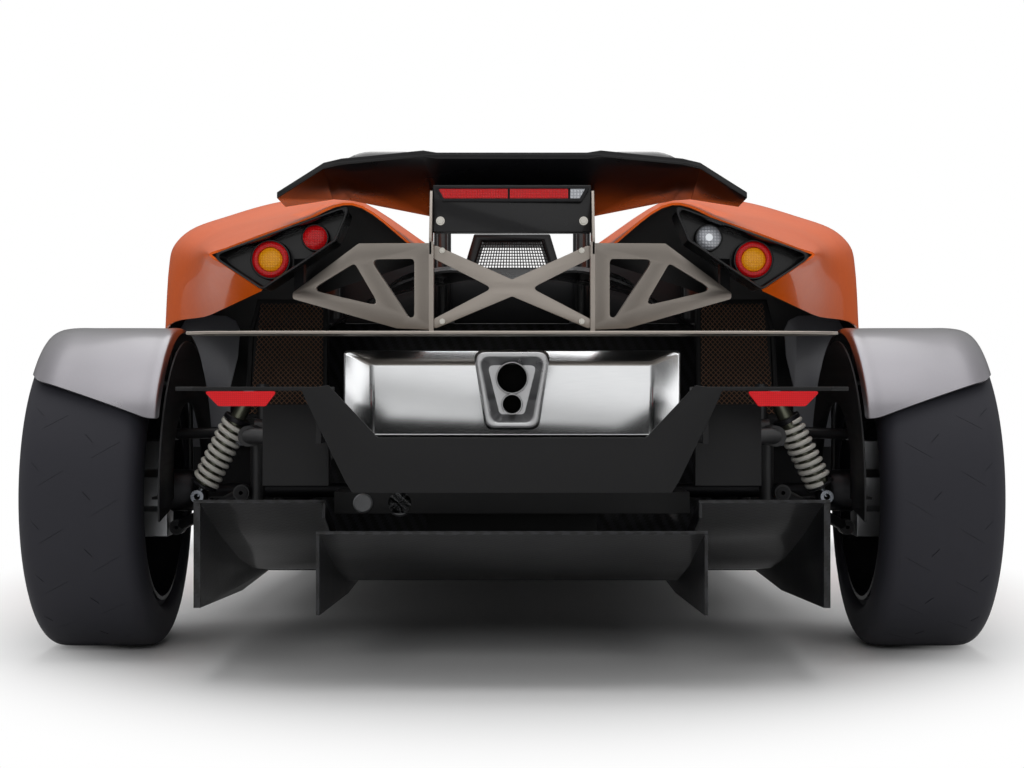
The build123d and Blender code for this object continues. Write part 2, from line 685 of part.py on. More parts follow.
# Grey shields ahead of the rear wheels, each on a bracket from the rear frame's front post
with BuildPart() as pod_bulkheads:
    shield_y = rear_axle_y + post_front
    with BuildSketch(cross_plane(shield_y)) as plate:
        Polygon(
            (651, 400), (651, 540), (634, 610), (630, 670), (640, 692), (662, 703), (728, 705), (757, 692),
            (779, 655), (785, 560), (775, 400),
        )
    extrude(plate.sketch, amount=6)
    box_between((rail_x + post_radius + seat_gap, shield_y - 6, 402), (653, shield_y, 418))
    mirror(about=Plane.YZ)
keep(pod_bulkheads.part, "pod_bulkheads")

# Radiators: a slanted core in its frame, standing on the rear frame's upper rail
with BuildPart() as radiators:
    core_foot = upper_rail_z + upper_rail_radius + seat_gap
    with BuildSketch(cross_plane(radiator_y)) as core:
        Polygon((430, core_foot), (622, core_foot), (612, 670), (593, 742), (430, 742))
    extrude(core.sketch, amount=-46)
    with BuildSketch(cross_plane(radiator_y)) as recess:
        Polygon((440, core_foot + 10), (611, core_foot + 10), (602, 668), (585, 732), (440, 732))
    extrude(recess.sketch, amount=-6, mode=Mode.SUBTRACT)
    mirror(about=Plane.YZ)
keep(radiators.part, "radiators")

# Lamp pods: deep boxes behind a flange, each with a lug for the tail frame, lamps on the board inside
pod_outline = [(302, 886), (332, 815), (471, 722), (570, 788)]
sweep = math.radians(27.4)
truss_plane = Plane(
    origin=(frame_half, bracket_y, 0), x_dir=(math.cos(sweep), math.sin(sweep), 0),
    z_dir=(math.sin(sweep), -math.cos(sweep), 0),
)


def add_pod_layer(inset, corner, depth, mode=Mode.ADD):
    """Prism of the pod's outline, set in and with cut corners, reaching forward from the pod's rear face."""
    with BuildSketch(cross_plane(pod_y)) as layer:
        Polygon(*pod_outline)
        if inset:
            offset(amount=-inset, kind=Kind.INTERSECTION)
        chamfer(layer.vertices(), length=corner)
    extrude(layer.sketch, amount=-depth, mode=mode)


with BuildPart() as lamp_pods:
    add_pod_layer(0, 10, panel_rear_y - pod_y - seat_gap)
    add_pod_layer(pod_wall, 9, pod_depth)
    with BuildSketch(truss_plane.offset(-frame_wall - seat_gap)) as lug:
        Polygon((288, 706), (310, 706), (310, 785), (288, 785))
    extrude(lug.sketch, amount=-8)
    add_pod_layer(2 * pod_wall, 8, pod_recess, mode=Mode.SUBTRACT)
    mirror(about=Plane.YZ)
keep(lamp_pods.part, "lamp_pods")

big_lamp, small_lamp = (460, 782), (375, 824)
with BuildPart() as rear_lenses:
    for lamp, radius in ((big_lamp, 39), (small_lamp, 27)):
        with BuildSketch(cross_plane(pod_y + pod_recess - seat_gap)) as lens:
            with Locations(lamp):
                round_face(radius, hub_flats)
        extrude(lens.sketch, amount=pod_recess - lamp_recess)
    with BuildSketch(cross_plane(skirt_y)) as reflector:
        Polygon((541, 532.5), (412, 532.5), (432, 506), (515, 506))
    extrude(reflector.sketch, amount=-skirt_wall)
    mirror(about=Plane.YZ)
    with BuildSketch(cross_plane(wing_rear_y - seat_gap)) as brake_light:
        Polygon((-145, 911), (145, 911), (129, 883), (-129, 883))
    extrude(brake_light.sketch, amount=10)
keep(rear_lenses.part, "rear_lenses")

# Tail wing: a thin blade with a low leading edge, and a deep box below it between the frame's posts
blade_lead_y = rear_axle_y - 240
wing_stations = [
    (-1, blade_lead_y, 876, 976), (140, blade_lead_y, 876, 976), (165, blade_lead_y, 882, 980),
    (316, blade_lead_y, 912, 965), (350, blade_lead_y - 5, 914, 957), (437, blade_lead_y - 60, 894, 902),
]
with BuildPart() as wing:
    sections = []
    for x, lead_y, lead_z, trail_z in wing_stations:
        sections.append([
            (x, lead_y, lead_z), (x, wing_rear_y, trail_z), (x, wing_rear_y, trail_z - wing_wall),
            (x, lead_y - 4, lead_z - 8),
        ])
    facet_loft(sections)
    with BuildSketch(side_plane(-1)) as box:
        Polygon(
            (wing_rear_y, 827), (wing_rear_y, 915), (blade_lead_y - 90, 915), (blade_lead_y - 90, 903),
            (wing_post_y + 3, 880), (wing_post_y + 3, 827),
        )
    extrude(box.sketch, amount=wing_box_half + 1)
    mirror(about=Plane.YZ)
keep(wing.part, "wing")

# Upper tail blade and the aluminium frame that stands on it
with BuildPart() as tail_blade:
    blade_plan = [
        (420, skirt_y + 60), (545, skirt_y + 75), (590, skirt_y + 100), (586, bracket_y + 20), (300, bracket_y + 50),
        (1, bracket_y + 60),
    ]
    with BuildSketch(Plane.XY.offset(tail_blade_top - tail_blade_wall)) as plan:
        Polygon(*both_sides(blade_plan))
    extrude(plan.sketch, amount=tail_blade_wall)
keep(tail_blade.part, "tail_blade")

with BuildPart() as tail_frame:
    foot_z = tail_blade_top + seat_gap
    half = frame_half
    with BuildSketch(cross_plane(bracket_y)) as brace:
        Polygon(
            (half, 802), (0, 737), (-half, 802), (-half, 776), (-36, 721), (-half, 664), (-half, 645), (0, 706),
            (half, 645), (half, 664), (36, 721), (half, 776),
        )
    extrude(brace.sketch, amount=frame_wall)
    post_x = wing_box_half + seat_gap + frame_wall
    box_between((half - 1, bracket_y - frame_wall, foot_z), (post_x, bracket_y + 8, 806))
    box_between((post_x - frame_wall, bracket_y - frame_wall, 770), (post_x, wing_post_y, 905))
    with BuildSketch(truss_plane) as truss:
        Polygon((0, foot_z + 4), (78, foot_z + 8), (310, 708), (310, 720), (161, 809), (0, 804))
        Polygon((269, 724), (170, 772), (115, 690.5), mode=Mode.SUBTRACT)
        Polygon((135, 778), (40, 776), (40, 669), (52, 667), mode=Mode.SUBTRACT)
    extrude(truss.sketch, amount=-frame_wall)
    mirror(about=Plane.YZ)
keep(tail_frame.part, "tail_frame")

# Exhaust: a box muffler with bevelled rear edges and a tip with two pipes, one above the other
with BuildPart() as muffler:
    bevel_y = muffler_rear_y + muffler_bevel
    with BuildSketch(Plane.XY.offset(muffler_bottom)) as plan:
        Polygon(*both_sides([
            (muffler_half - 57, muffler_rear_y), (muffler_half, bevel_y), (muffler_half, muffler_front_y),
        ]))
    extrude(plan.sketch, amount=muffler_top - muffler_bottom)
    with BuildSketch(side_plane(0)) as profile:
        Polygon(
            (muffler_rear_y, muffler_bottom), (muffler_rear_y, muffler_top - 24), (bevel_y, muffler_top),
            (muffler_front_y, muffler_top), (muffler_front_y, muffler_bottom),
        )
    extrude(profile.sketch, amount=muffler_half, both=True, mode=Mode.INTERSECT)
keep(muffler.part, "muffler")

with BuildPart() as exhaust_tip:
    tip_y = muffler_rear_y - 110
    with BuildSketch(cross_plane(tip_y)) as face:
        Polygon((-48, 463), (48, 463), (70, 606), (-70, 606))
        fillet(face.vertices(), radius=10)
    extrude(face.sketch, amount=tip_y - muffler_rear_y + seat_gap)
    with BuildSketch(cross_plane(tip_y)) as dish:
        Polygon((-39, 472), (39, 472), (58, 597), (-58, 597))
    extrude(dish.sketch, amount=-8, mode=Mode.SUBTRACT)
    for height, radius in ((556, 28), (509, 18)):
        with BuildSketch(cross_plane(tip_y)) as pipe:
            with Locations((0, height)):
                round_face(radius, hub_flats)
        extrude(pipe.sketch, amount=-70, mode=Mode.SUBTRACT)
keep(exhaust_tip.part, "exhaust_tip")

# Rear skirt with its lower blades and side boxes
with BuildPart() as rear_skirt:
    with BuildSketch(cross_plane(skirt_y)) as plate:
        Polygon(*both_sides([(280, 354), (292, 373), (359, 511), (370, 536), (322, 543), (235, 451)]))
    extrude(plate.sketch, amount=-skirt_wall)
    with BuildSketch(Plane.XY.offset(533)) as blade:
        Polygon((322, skirt_y), (560, skirt_y), (595, skirt_y + 25), (588, skirt_y + 95), (322, skirt_y + 110))
    extrude(blade.sketch, amount=7)
    box_between((335, skirt_box_y - 35, 359), (456, skirt_box_y, 508))
    box_between((335, skirt_y + skirt_wall - 2, 440), (345, skirt_box_y - 33, 508))
    mirror(about=Plane.YZ)
keep(rear_skirt.part, "rear_skirt")

# Engine cover: an open skin below the deck, with a hump on each side of its middle
cover_stations = [
    (tub_rear_y - seat_gap, [(470, 690), (300, 775), (165, 805), (116, cover_top_z), (-4, cover_top_z)]),
    (rear_axle_y + 372, [(330, 740), (240, 795), (165, 808), (116, cover_top_z), (-4, cover_top_z)]),
    (rear_axle_y, [(300, 715), (235, 768), (150, 790), (75, 786), (-4, 768)]),
    (rear_axle_y - 250, [(290, 696), (230, 740), (120, 768), (60, 754), (-4, 733)]),
]
with BuildPart() as engine_cover:
    skin(cover_stations, panel_wall)
    mirror(about=Plane.YZ)
keep(engine_cover.part, "engine_cover")

# Centre intake: a square duct open at both ends, above the engine cover
with BuildPart() as intake:
    duct_floor = cover_top_z + seat_gap
    with BuildSketch(cross_plane(rear_axle_y + 500)) as duct:
        Polygon((-116, duct_floor), (116, duct_floor), (90, 901), (-90, 901))
        Polygon((-92, duct_floor + 6), (92, duct_floor + 6), (71, 884), (-71, 884), mode=Mode.SUBTRACT)
    extrude(duct.sketch, amount=-200)
keep(intake.part, "intake")

# Roll hoops behind the seats
with BuildPart() as roll_hoops:
    hoop_foot_z = sill_top_z + 12
    path = [(hoop_inner_x, hoop_foot_z)]
    for corner_x, start in ((hoop_inner_x + hoop_bend, 180), (hoop_outer_x - hoop_bend, 90)):
        for step in range(4):
            across, up = polar(hoop_bend, start - 30 * step)
            path.append((corner_x + across, hoop_top_z - hoop_bend + up))
    path.append((hoop_outer_x, hoop_foot_z))
    hoop(path, hoop_radius, (tub_rear_y + cockpit_rear_y) / 2)
    for x in (hoop_inner_x, hoop_outer_x):
        box_between((x - 30, tub_rear_y, sill_top_z + seat_gap), (x + 30, cockpit_rear_y, hoop_foot_z + 1))
    mirror(about=Plane.YZ)
keep(roll_hoops.part, "roll_hoops")

# Cockpit: bucket seats, dashboard, steering wheel and a small screen
with BuildPart() as seats:
    seat_back_y = cockpit_rear_y + 65
    back = [(0, 790), (35, 560), (120, 185), (210, 165), (470, 220)]
    bolster = [
        (12, 700), (35, 560), (120, 185), (210, 165), (450, 216), (440, 254), (220, 228), (150, 256), (112, 600),
        (72, 690),
    ]
    with BuildSketch(side_plane(seat_x - seat_half)) as shell:
        Polygon(*strip([(seat_back_y + y, z) for y, z in back], 24))
    extrude(shell.sketch, amount=2 * seat_half)
    for x in (seat_x - seat_half - 10, seat_x + seat_half - 14):
        with BuildSketch(side_plane(x)) as wall:
            Polygon(*[(seat_back_y + y, z) for y, z in bolster])
        extrude(wall.sketch, amount=24)
    runner_z = tub_bottom + tub_floor + seat_gap
    box_between((seat_x - 120, seat_back_y + 200, runner_z), (seat_x + 120, seat_back_y + 260, 172))
    mirror(about=Plane.YZ)
keep(seats.part, "seats")

with BuildPart() as dashboard:
    dash_rear_y, dash_front_y = scuttle_rear_y - 50, scuttle_rear_y - seat_gap
    box_between((-430, dash_rear_y, 510), (430, dash_front_y, 632))
    box_between((column_x - 50, dash_rear_y, 430), (column_x + 50, dash_front_y, 512))
keep(dashboard.part, "dashboard")

with BuildPart() as steering_wheel:
    aim = Vector(0, -math.cos(math.radians(column_tilt)), math.sin(math.radians(column_tilt)))
    column_foot = Vector(column_x, dash_rear_y - seat_gap, 469)
    hub_point = column_foot + aim * column_reach
    pin(tuple(column_foot + aim * 6), tuple(hub_point), 16)
    helm_plane = Plane(origin=hub_point, x_dir=(1, 0, 0), z_dir=aim)
    with BuildSketch(helm_plane.offset(-6)) as spokes:
        round_face(45, hub_flats)
        Rectangle(2 * helm_radius - 20, 34)
    extrude(spokes.sketch, amount=12)
    with BuildSketch(helm_plane.offset(-13)) as grip:
        round_face(helm_radius, hub_flats)
        RegularPolygon(helm_radius - 27, hub_flats, mode=Mode.SUBTRACT, major_radius=False, rotation=180 / hub_flats)
    extrude(grip.sketch, amount=26)
keep(steering_wheel.part, "steering_wheel")

with BuildPart() as windscreen:
    screen_y = scuttle_rear_y + 52
    with BuildSketch(side_plane(0)) as glass:
        Polygon((screen_y, 630.2), (screen_y - 6, 631.4), (screen_y - 82, 752), (screen_y - 76, 755))
    extrude(glass.sketch, amount=390, both=True)
keep(windscreen.part, "windscreen")

# Nose: an open-backed cone, the bonnet skin over the tub and a splitter under both
with BuildPart() as nose:
    cone_y = nose_tip_y - 169
    for inset, mode in ((0, Mode.ADD), (panel_wall, Mode.SUBTRACT)):
        sections = []
        for y, half, top in ((tub_front_y + seat_gap, 215, 436), (cone_y, 165, 370), (nose_tip_y - inset, 70, 250)):
            w, low, high = half - inset, tub_bottom + inset, top - inset
            outline = [(w, low), (w, high - 40), (w - 40, high), (40 - w, high), (-w, high - 40), (-w, low)]
            sections.append([(x, y, z) for x, z in outline])
        facet_loft(sections, mode=mode)
keep(nose.part, "nose")

with BuildPart() as bonnet:
    stations = []
    for y, half, top in ((tub_front_y, 210, 430), (knee_y, 270, 520), (waist_y + 5, 339, 598.8)):
        w, high = half + seat_gap + 0.2 + panel_wall, top + seat_gap + panel_wall
        stations.append((y, [(w, high - 34), (w, high), (-w, high), (-w, high - 34)]))
    skin(stations, panel_wall)
keep(bonnet.part, "bonnet")

with BuildPart() as splitter:
    half_plan = [
        (238, floor_front_y + seat_gap), (250, tub_front_y + 30), (520, splitter_rear_y - 25),
        (splitter_half, splitter_rear_y), (splitter_half, splitter_corner_y), (300, nose_tip_y - 14), (0, nose_tip_y),
    ]
    with BuildSketch(Plane.XY.offset(floor_bottom - 6)) as plan:
        Polygon(*both_sides(half_plan))
    extrude(plan.sketch, amount=14)
    for side in (-1, 1):
        box_between(
            (side * splitter_half, splitter_rear_y, floor_bottom - 8),
            (side * (splitter_half - endplate_wall), splitter_corner_y, 230),
        )
    box_between(
        (tow_eye_x - tow_plate_half, tow_eye_y - 32, floor_bottom),
        (tow_eye_x + tow_plate_half, tow_eye_y + 28, tow_eye_z + 28),
    )
    pin(
        (tow_eye_x - 10, tow_eye_y, tow_eye_z), (tow_eye_x + 10, tow_eye_y, tow_eye_z), tow_eye_radius,
        mode=Mode.SUBTRACT,
    )
keep(splitter.part, "splitter")

with BuildPart() as headlamps:
    lamp_y = front_axle_y + 199
    bar((400, lamp_y - 50, 570), (400, lamp_y + 70, 570), 60, hub_flats)
    bar((232.6, lamp_y, 442), (262, lamp_y, 442), 12)
    bar((250, lamp_y, 442), (400, lamp_y, 545), 12)
    mirror(about=Plane.YZ)
keep(headlamps.part, "headlamps")

with BuildPart() as mirrors:
    mirror_y = scuttle_rear_y - 80
    bar((580, mirror_y, 604.0), (690, mirror_y - 10, 800), 9)
    box_between((615, mirror_y - 40, 790), (785, mirror_y + 20, 880))
    mirror(about=Plane.YZ)
keep(mirrors.part, "mirrors")
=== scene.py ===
"""Dresses an open two-seat track sports car: finishes, fine pieces, studio and camera.

+Y points forward, +X to the right and +Z up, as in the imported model.
"""

from __future__ import annotations

import logging
import math
from dataclasses import dataclass, field
from enum import Enum

import bmesh
import bpy
from mathutils import Matrix, Vector


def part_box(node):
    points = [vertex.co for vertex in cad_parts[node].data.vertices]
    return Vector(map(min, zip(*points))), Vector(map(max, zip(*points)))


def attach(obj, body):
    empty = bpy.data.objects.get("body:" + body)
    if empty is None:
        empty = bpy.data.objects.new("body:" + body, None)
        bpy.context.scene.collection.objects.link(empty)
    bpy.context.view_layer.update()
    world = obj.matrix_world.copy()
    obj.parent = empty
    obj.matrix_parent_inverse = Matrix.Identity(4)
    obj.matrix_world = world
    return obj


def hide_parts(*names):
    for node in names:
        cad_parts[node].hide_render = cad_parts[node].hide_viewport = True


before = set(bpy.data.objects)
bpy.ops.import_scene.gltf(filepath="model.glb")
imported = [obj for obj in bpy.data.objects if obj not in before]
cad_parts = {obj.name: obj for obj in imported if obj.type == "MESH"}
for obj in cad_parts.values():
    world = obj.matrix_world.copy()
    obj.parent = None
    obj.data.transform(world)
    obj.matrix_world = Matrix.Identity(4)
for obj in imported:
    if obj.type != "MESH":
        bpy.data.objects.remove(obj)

LOG = logging.getLogger("track_car")
MM = 0.001
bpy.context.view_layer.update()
REAR_AXLE_Y = sum(corner.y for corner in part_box("rim_rear_right")) / 2
FRONT_AXLE_Y = sum(corner.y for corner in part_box("rim_front_right")) / 2

Mesh = bpy.types.Mesh
Object = bpy.types.Object
Tree = bpy.types.NodeTree
Socket = bpy.types.NodeSocket
Point = tuple[float, float, float] | Vector
Flat = tuple[float, float]
Line = list[Vector]
Rows = list[Line]


def linear(code: str) -> tuple[float, float, float, float]:
    """Turns an sRGB hex colour into linear light.

    Args:
        code: Six hex digits with a leading hash.

    Returns:
        Linear red, green, blue and a full alpha.
    """
    parts = [int(code[i : i + 2], 16) / 255 for i in (1, 3, 5)]
    light = [p / 12.92 if p <= 0.04045 else ((p + 0.055) / 1.055) ** 2.4 for p in parts]
    return light[0], light[1], light[2], 1.0


def add_node(
    tree: Tree, kind: str, settings: dict[str | int, object] | None = None,
    links: dict[str | int, Socket] | None = None,
) -> bpy.types.Node:
    """Adds a node, sets its options and unlinked inputs, and wires its linked inputs.

    Args:
        tree: The node tree that receives the node.
        kind: The node's type name.
        settings: Option names of the node, or input names and numbers, with their values.
        links: Input names or numbers with the socket that feeds each.

    Returns:
        The new node.
    """
    node = tree.nodes.new(kind)
    for key, value in (settings or {}).items():
        if isinstance(key, str) and hasattr(node, key):
            setattr(node, key, value)
    for key, value in (settings or {}).items():
        if not (isinstance(key, str) and hasattr(node, key)):
            node.inputs[key].default_value = value
    for key, source in (links or {}).items():
        tree.links.new(source, node.inputs[key])
    return node


class Pattern(Enum):
    """How a surface was made, which decides its fine relief."""

    SPRAYED = "sprayed"
    MOULDED = "moulded"
    BRUSHED = "brushed"
    CAST = "cast"
    TWILL = "twill weave"
    TURNED = "turned about the axle"
    BLASTED = "bead blasted"
    OPTICS = "pillow optics"


class Side(Enum):
    """A side of the car; its value is the sign of x there."""

    RIGHT = 1
    LEFT = -1

    @property
    def word(self) -> str:
        """Returns the side's name as pieces have it."""
        return self.name.lower()


@dataclass(frozen=True)
class Finish:
    """A surface finish with its relief at real scale.

    Colours are sRGB hex. Grain is the relief's pitch and depth its height. Shade
    is how far the second colour shows in a broad cloudy drift, from 0 to 1.
    """

    name: str
    colour: str
    second: str
    pattern: Pattern
    metallic: float = 0.0
    roughness: float = 0.5
    coat: float = 0.0
    coat_roughness: float = 0.04
    specular: float = 0.5
    grain: float = 1.0
    depth: float = 0.02
    shade: float = 0.3
    drift: float = 120.0
    axis: tuple[float, float, float] = (0.0, 0.0, 0.0)
    transmission: float = 0.0

    def material(self) -> bpy.types.Material:
        """Returns the finish's material, built once.

        Returns:
            The node-based material.
        """
        made = bpy.data.materials.get(self.name)
        if made:
            return made
        made = bpy.data.materials.new(self.name)
        made.use_nodes = True
        tree = made.node_tree
        tree.nodes.clear()
        coords = add_node(tree, "ShaderNodeTexCoord").outputs["Object"]
        drift = add_node(
            tree, "ShaderNodeTexNoise", {"Scale": 1 / (self.drift * MM), "Detail": 3.0}, {"Vector": coords}
        )
        height, tone = self.relief(tree, coords)
        share = add_node(
            tree, "ShaderNodeMath", {"operation": "MULTIPLY_ADD", "use_clamp": True, 1: self.shade},
            {0: drift.outputs["Fac"], 2: tone},
        )
        colour = add_node(
            tree, "ShaderNodeMix", {"data_type": "RGBA", 6: linear(self.colour), 7: linear(self.second)},
            {0: share.outputs[0]},
        )
        gloss = add_node(
            tree, "ShaderNodeMapRange",
            {"To Min": max(self.roughness - 0.05, 0.02), "To Max": min(self.roughness + 0.05, 1.0)},
            {"Value": drift.outputs["Fac"]},
        )
        bump = add_node(tree, "ShaderNodeBump", {"Strength": 0.6, "Distance": self.depth * MM}, {"Height": height})
        shader = add_node(
            tree,
            "ShaderNodeBsdfPrincipled",
            {
                "Metallic": self.metallic,
                "Specular IOR Level": self.specular,
                "Coat Weight": self.coat,
                "Coat Roughness": self.coat_roughness,
                "Transmission Weight": self.transmission,
            },
            {"Base Color": colour.outputs[2], "Roughness": gloss.outputs[0], "Normal": bump.outputs[0]},
        )
        add_node(tree, "ShaderNodeOutputMaterial", {}, {"Surface": shader.outputs[0]})
        return made

    def relief(self, tree: Tree, coords: Socket) -> tuple[Socket, Socket]:
        """Builds the pattern's height and its lighter or darker tone.

        Args:
            tree: The material's node tree.
            coords: Object coordinates in metres.

        Returns:
            The height socket and the tone socket.
        """
        if self.pattern in (Pattern.TWILL, Pattern.TURNED, Pattern.OPTICS):
            split = add_node(tree, "ShaderNodeSeparateXYZ", {}, {0: coords})
            known = dict(zip("xyz", split.outputs))
            for result, operation, first, second in self.sums():
                settings: dict[str | int, object] = {"operation": operation}
                links = {0: known[first]}
                if isinstance(second, str):
                    links[1] = known[second]
                else:
                    settings[1] = second
                known[result] = add_node(tree, "ShaderNodeMath", settings, links).outputs[0]
            return known["height"], known["tone"]
        pitch = 1 / (self.grain * MM)
        stretch = (pitch / 40 if self.pattern is Pattern.BRUSHED else pitch, pitch, pitch)
        moved = add_node(tree, "ShaderNodeMapping", {"Scale": stretch}, {"Vector": coords})
        detail = {Pattern.CAST: 6.0, Pattern.BLASTED: 4.0}.get(self.pattern, 2.0)
        noise = add_node(tree, "ShaderNodeTexNoise", {"Scale": 1.0, "Detail": detail}, {"Vector": moved.outputs[0]})
        tone = add_node(
            tree, "ShaderNodeMapRange", {"From Min": 0.3, "From Max": 0.7, "To Min": -0.12, "To Max": 0.12},
            {"Value": noise.outputs["Fac"]},
        )
        return noise.outputs["Fac"], tone.outputs[0]

    def sums(self) -> list[tuple[str, str, str, str | float]]:
        """Lists the sums of a regular pattern.

        Two-by-two twill has tows that pass over two and under two, each crown rounded. A turned face has fine rings
        about the cross-car axle through the finish's axis point. Lamp optics are rows of small rounded pillows.

        Returns:
            Each sum's name, its operation and its two terms, the names of sockets or numbers.
        """
        tow, turn = 1 / (self.grain * MM), math.pi / (self.grain * MM)
        if self.pattern is Pattern.TWILL:
            return [
                ("spread", "SUBTRACT", "y", "z"), ("lean", "MULTIPLY", "spread", 0.5), ("slant", "ADD", "x", "lean"),
                ("across", "MULTIPLY", "slant", tow), ("rise", "ADD", "y", "z"), ("along", "MULTIPLY", "rise", tow),
                ("tow a", "FLOOR", "across", 0.0), ("tow b", "FLOOR", "along", 0.0),
                ("step", "ADD", "tow a", "tow b"), ("turn", "FLOORED_MODULO", "step", 4.0),
                ("over", "LESS_THAN", "turn", 2.0), ("part a", "FRACT", "across", 0.0),
                ("arch a", "MULTIPLY", "part a", math.pi), ("crown a", "SINE", "arch a", 0.0),
                ("part b", "FRACT", "along", 0.0), ("arch b", "MULTIPLY", "part b", math.pi),
                ("crown b", "SINE", "arch b", 0.0), ("gap", "SUBTRACT", "crown a", "crown b"),
                ("lift", "MULTIPLY", "gap", "over"), ("height", "ADD", "crown b", "lift"),
                ("side", "SUBTRACT", "over", 0.5), ("tone", "MULTIPLY", "side", 0.6),
            ]
        if self.pattern is Pattern.TURNED:
            return [
                ("ahead", "SUBTRACT", "y", self.axis[1]), ("above", "SUBTRACT", "z", self.axis[2]),
                ("ahead squared", "MULTIPLY", "ahead", "ahead"), ("above squared", "MULTIPLY", "above", "above"),
                ("both", "ADD", "ahead squared", "above squared"), ("far", "SQRT", "both", 0.0),
                ("rings", "MULTIPLY", "far", 2 * turn), ("height", "SINE", "rings", 0.0),
                ("tone", "MULTIPLY", "height", 0.08),
            ]
        return [
            ("u", "MULTIPLY", "x", turn), ("v", "MULTIPLY", "z", turn), ("crest u", "SINE", "u", 0.0),
            ("crest v", "SINE", "v", 0.0), ("pillow", "MULTIPLY", "crest u", "crest v"),
            ("height", "ABSOLUTE", "pillow", 0.0), ("drop", "MULTIPLY", "height", -0.7), ("tone", "ADD", "drop", 0.6),
        ]


# Sprayed two-pack lacquer over plastic panels: deep gloss, a faint orange-peel ripple
ORANGE_LACQUER = Finish(
    "orange two-pack lacquer", "#EE6504", "#DC4F02", Pattern.SPRAYED,
    roughness=0.4, coat=0.3, coat_roughness=0.03, specular=0.12, grain=9.0, shade=0.35,
)
# Silver-grey metallic lacquer on the cycle wings: a fine flake under clear coat
SILVER_LACQUER = Finish(
    "silver metallic lacquer", "#79777B", "#656368", Pattern.SPRAYED,
    metallic=0.95, roughness=0.3, coat=0.4, coat_roughness=0.12, grain=1.2, depth=0.01,
)
# Black glass-filled nylon with a lacquered face: dark, a soft sheen
BLACK_LACQUER = Finish(
    "black satin lacquer", "#0B0B0D", "#151518", Pattern.SPRAYED,
    roughness=0.28, coat=0.3, coat_roughness=0.08, specular=0.25, grain=6.0, depth=0.015,
)
# Prepreg carbon in two-by-two twill, drawn at a 7 mm tow, over twice the real one, so that it shows
CARBON_TWILL = Finish(
    "lacquered carbon twill", "#050506", "#303136", Pattern.TWILL,
    roughness=0.34, coat=0.35, coat_roughness=0.05, specular=0.25, grain=7.0, depth=0.16, shade=0.1,
)
# Laser-cut aluminium sheet, bead blasted: pale warm grey, no gloss
BLASTED_ALUMINIUM = Finish(
    "bead-blasted aluminium", "#A8A098", "#938B83", Pattern.BLASTED,
    metallic=1.0, roughness=0.42, grain=0.9, shade=0.25,
)
# Rolled stainless sheet: long brush lines across the car
BRUSHED_STAINLESS = Finish(
    "brushed stainless steel", "#E6E7E8", "#D2D4D7", Pattern.BRUSHED,
    metallic=1.0, roughness=0.2, grain=0.8, depth=0.01, shade=0.2,
)
# Sand-cast aluminium gearbox and engine block: grey, grainy
CAST_ALUMINIUM = Finish(
    "sand-cast aluminium", "#8C8D8F", "#6C6D70", Pattern.CAST,
    metallic=0.8, roughness=0.58, grain=3.0, depth=0.25, shade=0.4,
)
# Machined forged aluminium: uprights and brackets
FORGED_ALUMINIUM = Finish(
    "machined aluminium", "#A5A6A8", "#8D8E91", Pattern.BLASTED, metallic=1.0, roughness=0.36, grain=1.5, depth=0.03,
)
# Powder-coated steel tube: black with a fine orange peel
POWDER_COAT = Finish(
    "black powder coat", "#121214", "#1C1C1F", Pattern.MOULDED, roughness=0.42, grain=2.0, depth=0.06,
)
# Ground steel: spindles, shafts, links
GROUND_STEEL = Finish(
    "ground steel", "#8C9097", "#70747B", Pattern.BRUSHED, metallic=1.0, roughness=0.28, grain=0.6, depth=0.01,
)
# Vulcanised tread compound: blue-black, dusty, no gloss
TREAD_RUBBER = Finish(
    "vulcanised rubber", "#25252B", "#303037", Pattern.MOULDED,
    roughness=0.68, specular=0.35, grain=0.7, depth=0.06, shade=0.5, drift=260.0,
)
# Injection-moulded black plastic with a leathery texture
GRAINED_PLASTIC = Finish(
    "grained black plastic", "#121214", "#1B1B1E", Pattern.MOULDED, roughness=0.55, specular=0.3, grain=1.6, depth=0.12,
)
# Black-painted aluminium core
CORE_BLACK = Finish("black painted core", "#0C0C0D", "#17171A", Pattern.CAST, roughness=0.6, grain=2.0, depth=0.2)
# Sprayed rubbery coat on the wings' inner face: black, no gloss
WING_UNDERSIDE = Finish(
    "black stone-guard coat", "#121214", "#1D1D20", Pattern.CAST, roughness=0.7, grain=2.5, depth=0.15,
)
# Inside face of the side panels: unpainted black laminate
PANEL_UNDERSIDE = Finish(
    "black glass-fibre laminate", "#131315", "#1F1F22", Pattern.CAST, roughness=0.55, grain=3.0, depth=0.1,
)
# Investment-cast stainless tip, bead blasted and polished on its rim
SATIN_STAINLESS = Finish(
    "satin stainless casting", "#BDBDBE", "#A2A2A4", Pattern.BLASTED, metallic=1.0, roughness=0.28, grain=1.1,
    depth=0.015, shade=0.25,
)
# Anodised damper bodies: grey-green sheen
DAMPER_TOP = Finish(
    "grey-green anodised aluminium", "#6E7062", "#565849", Pattern.BLASTED, metallic=0.9, roughness=0.34, depth=0.01,
)
# Grey moulded shields ahead of the rear wheels
SHIELD_GREY = Finish(
    "grey moulded composite", "#6B6C71", "#5A5B60", Pattern.MOULDED, roughness=0.4, coat=0.3, coat_roughness=0.2,
    grain=3.0, depth=0.05,
)
# Gloss black tube of the roll hoops
HOOP_BLACK = Finish(
    "gloss black tube lacquer", "#0D0D0F", "#161618", Pattern.SPRAYED, roughness=0.3, coat=0.6, coat_roughness=0.06,
    grain=6.0, depth=0.01,
)
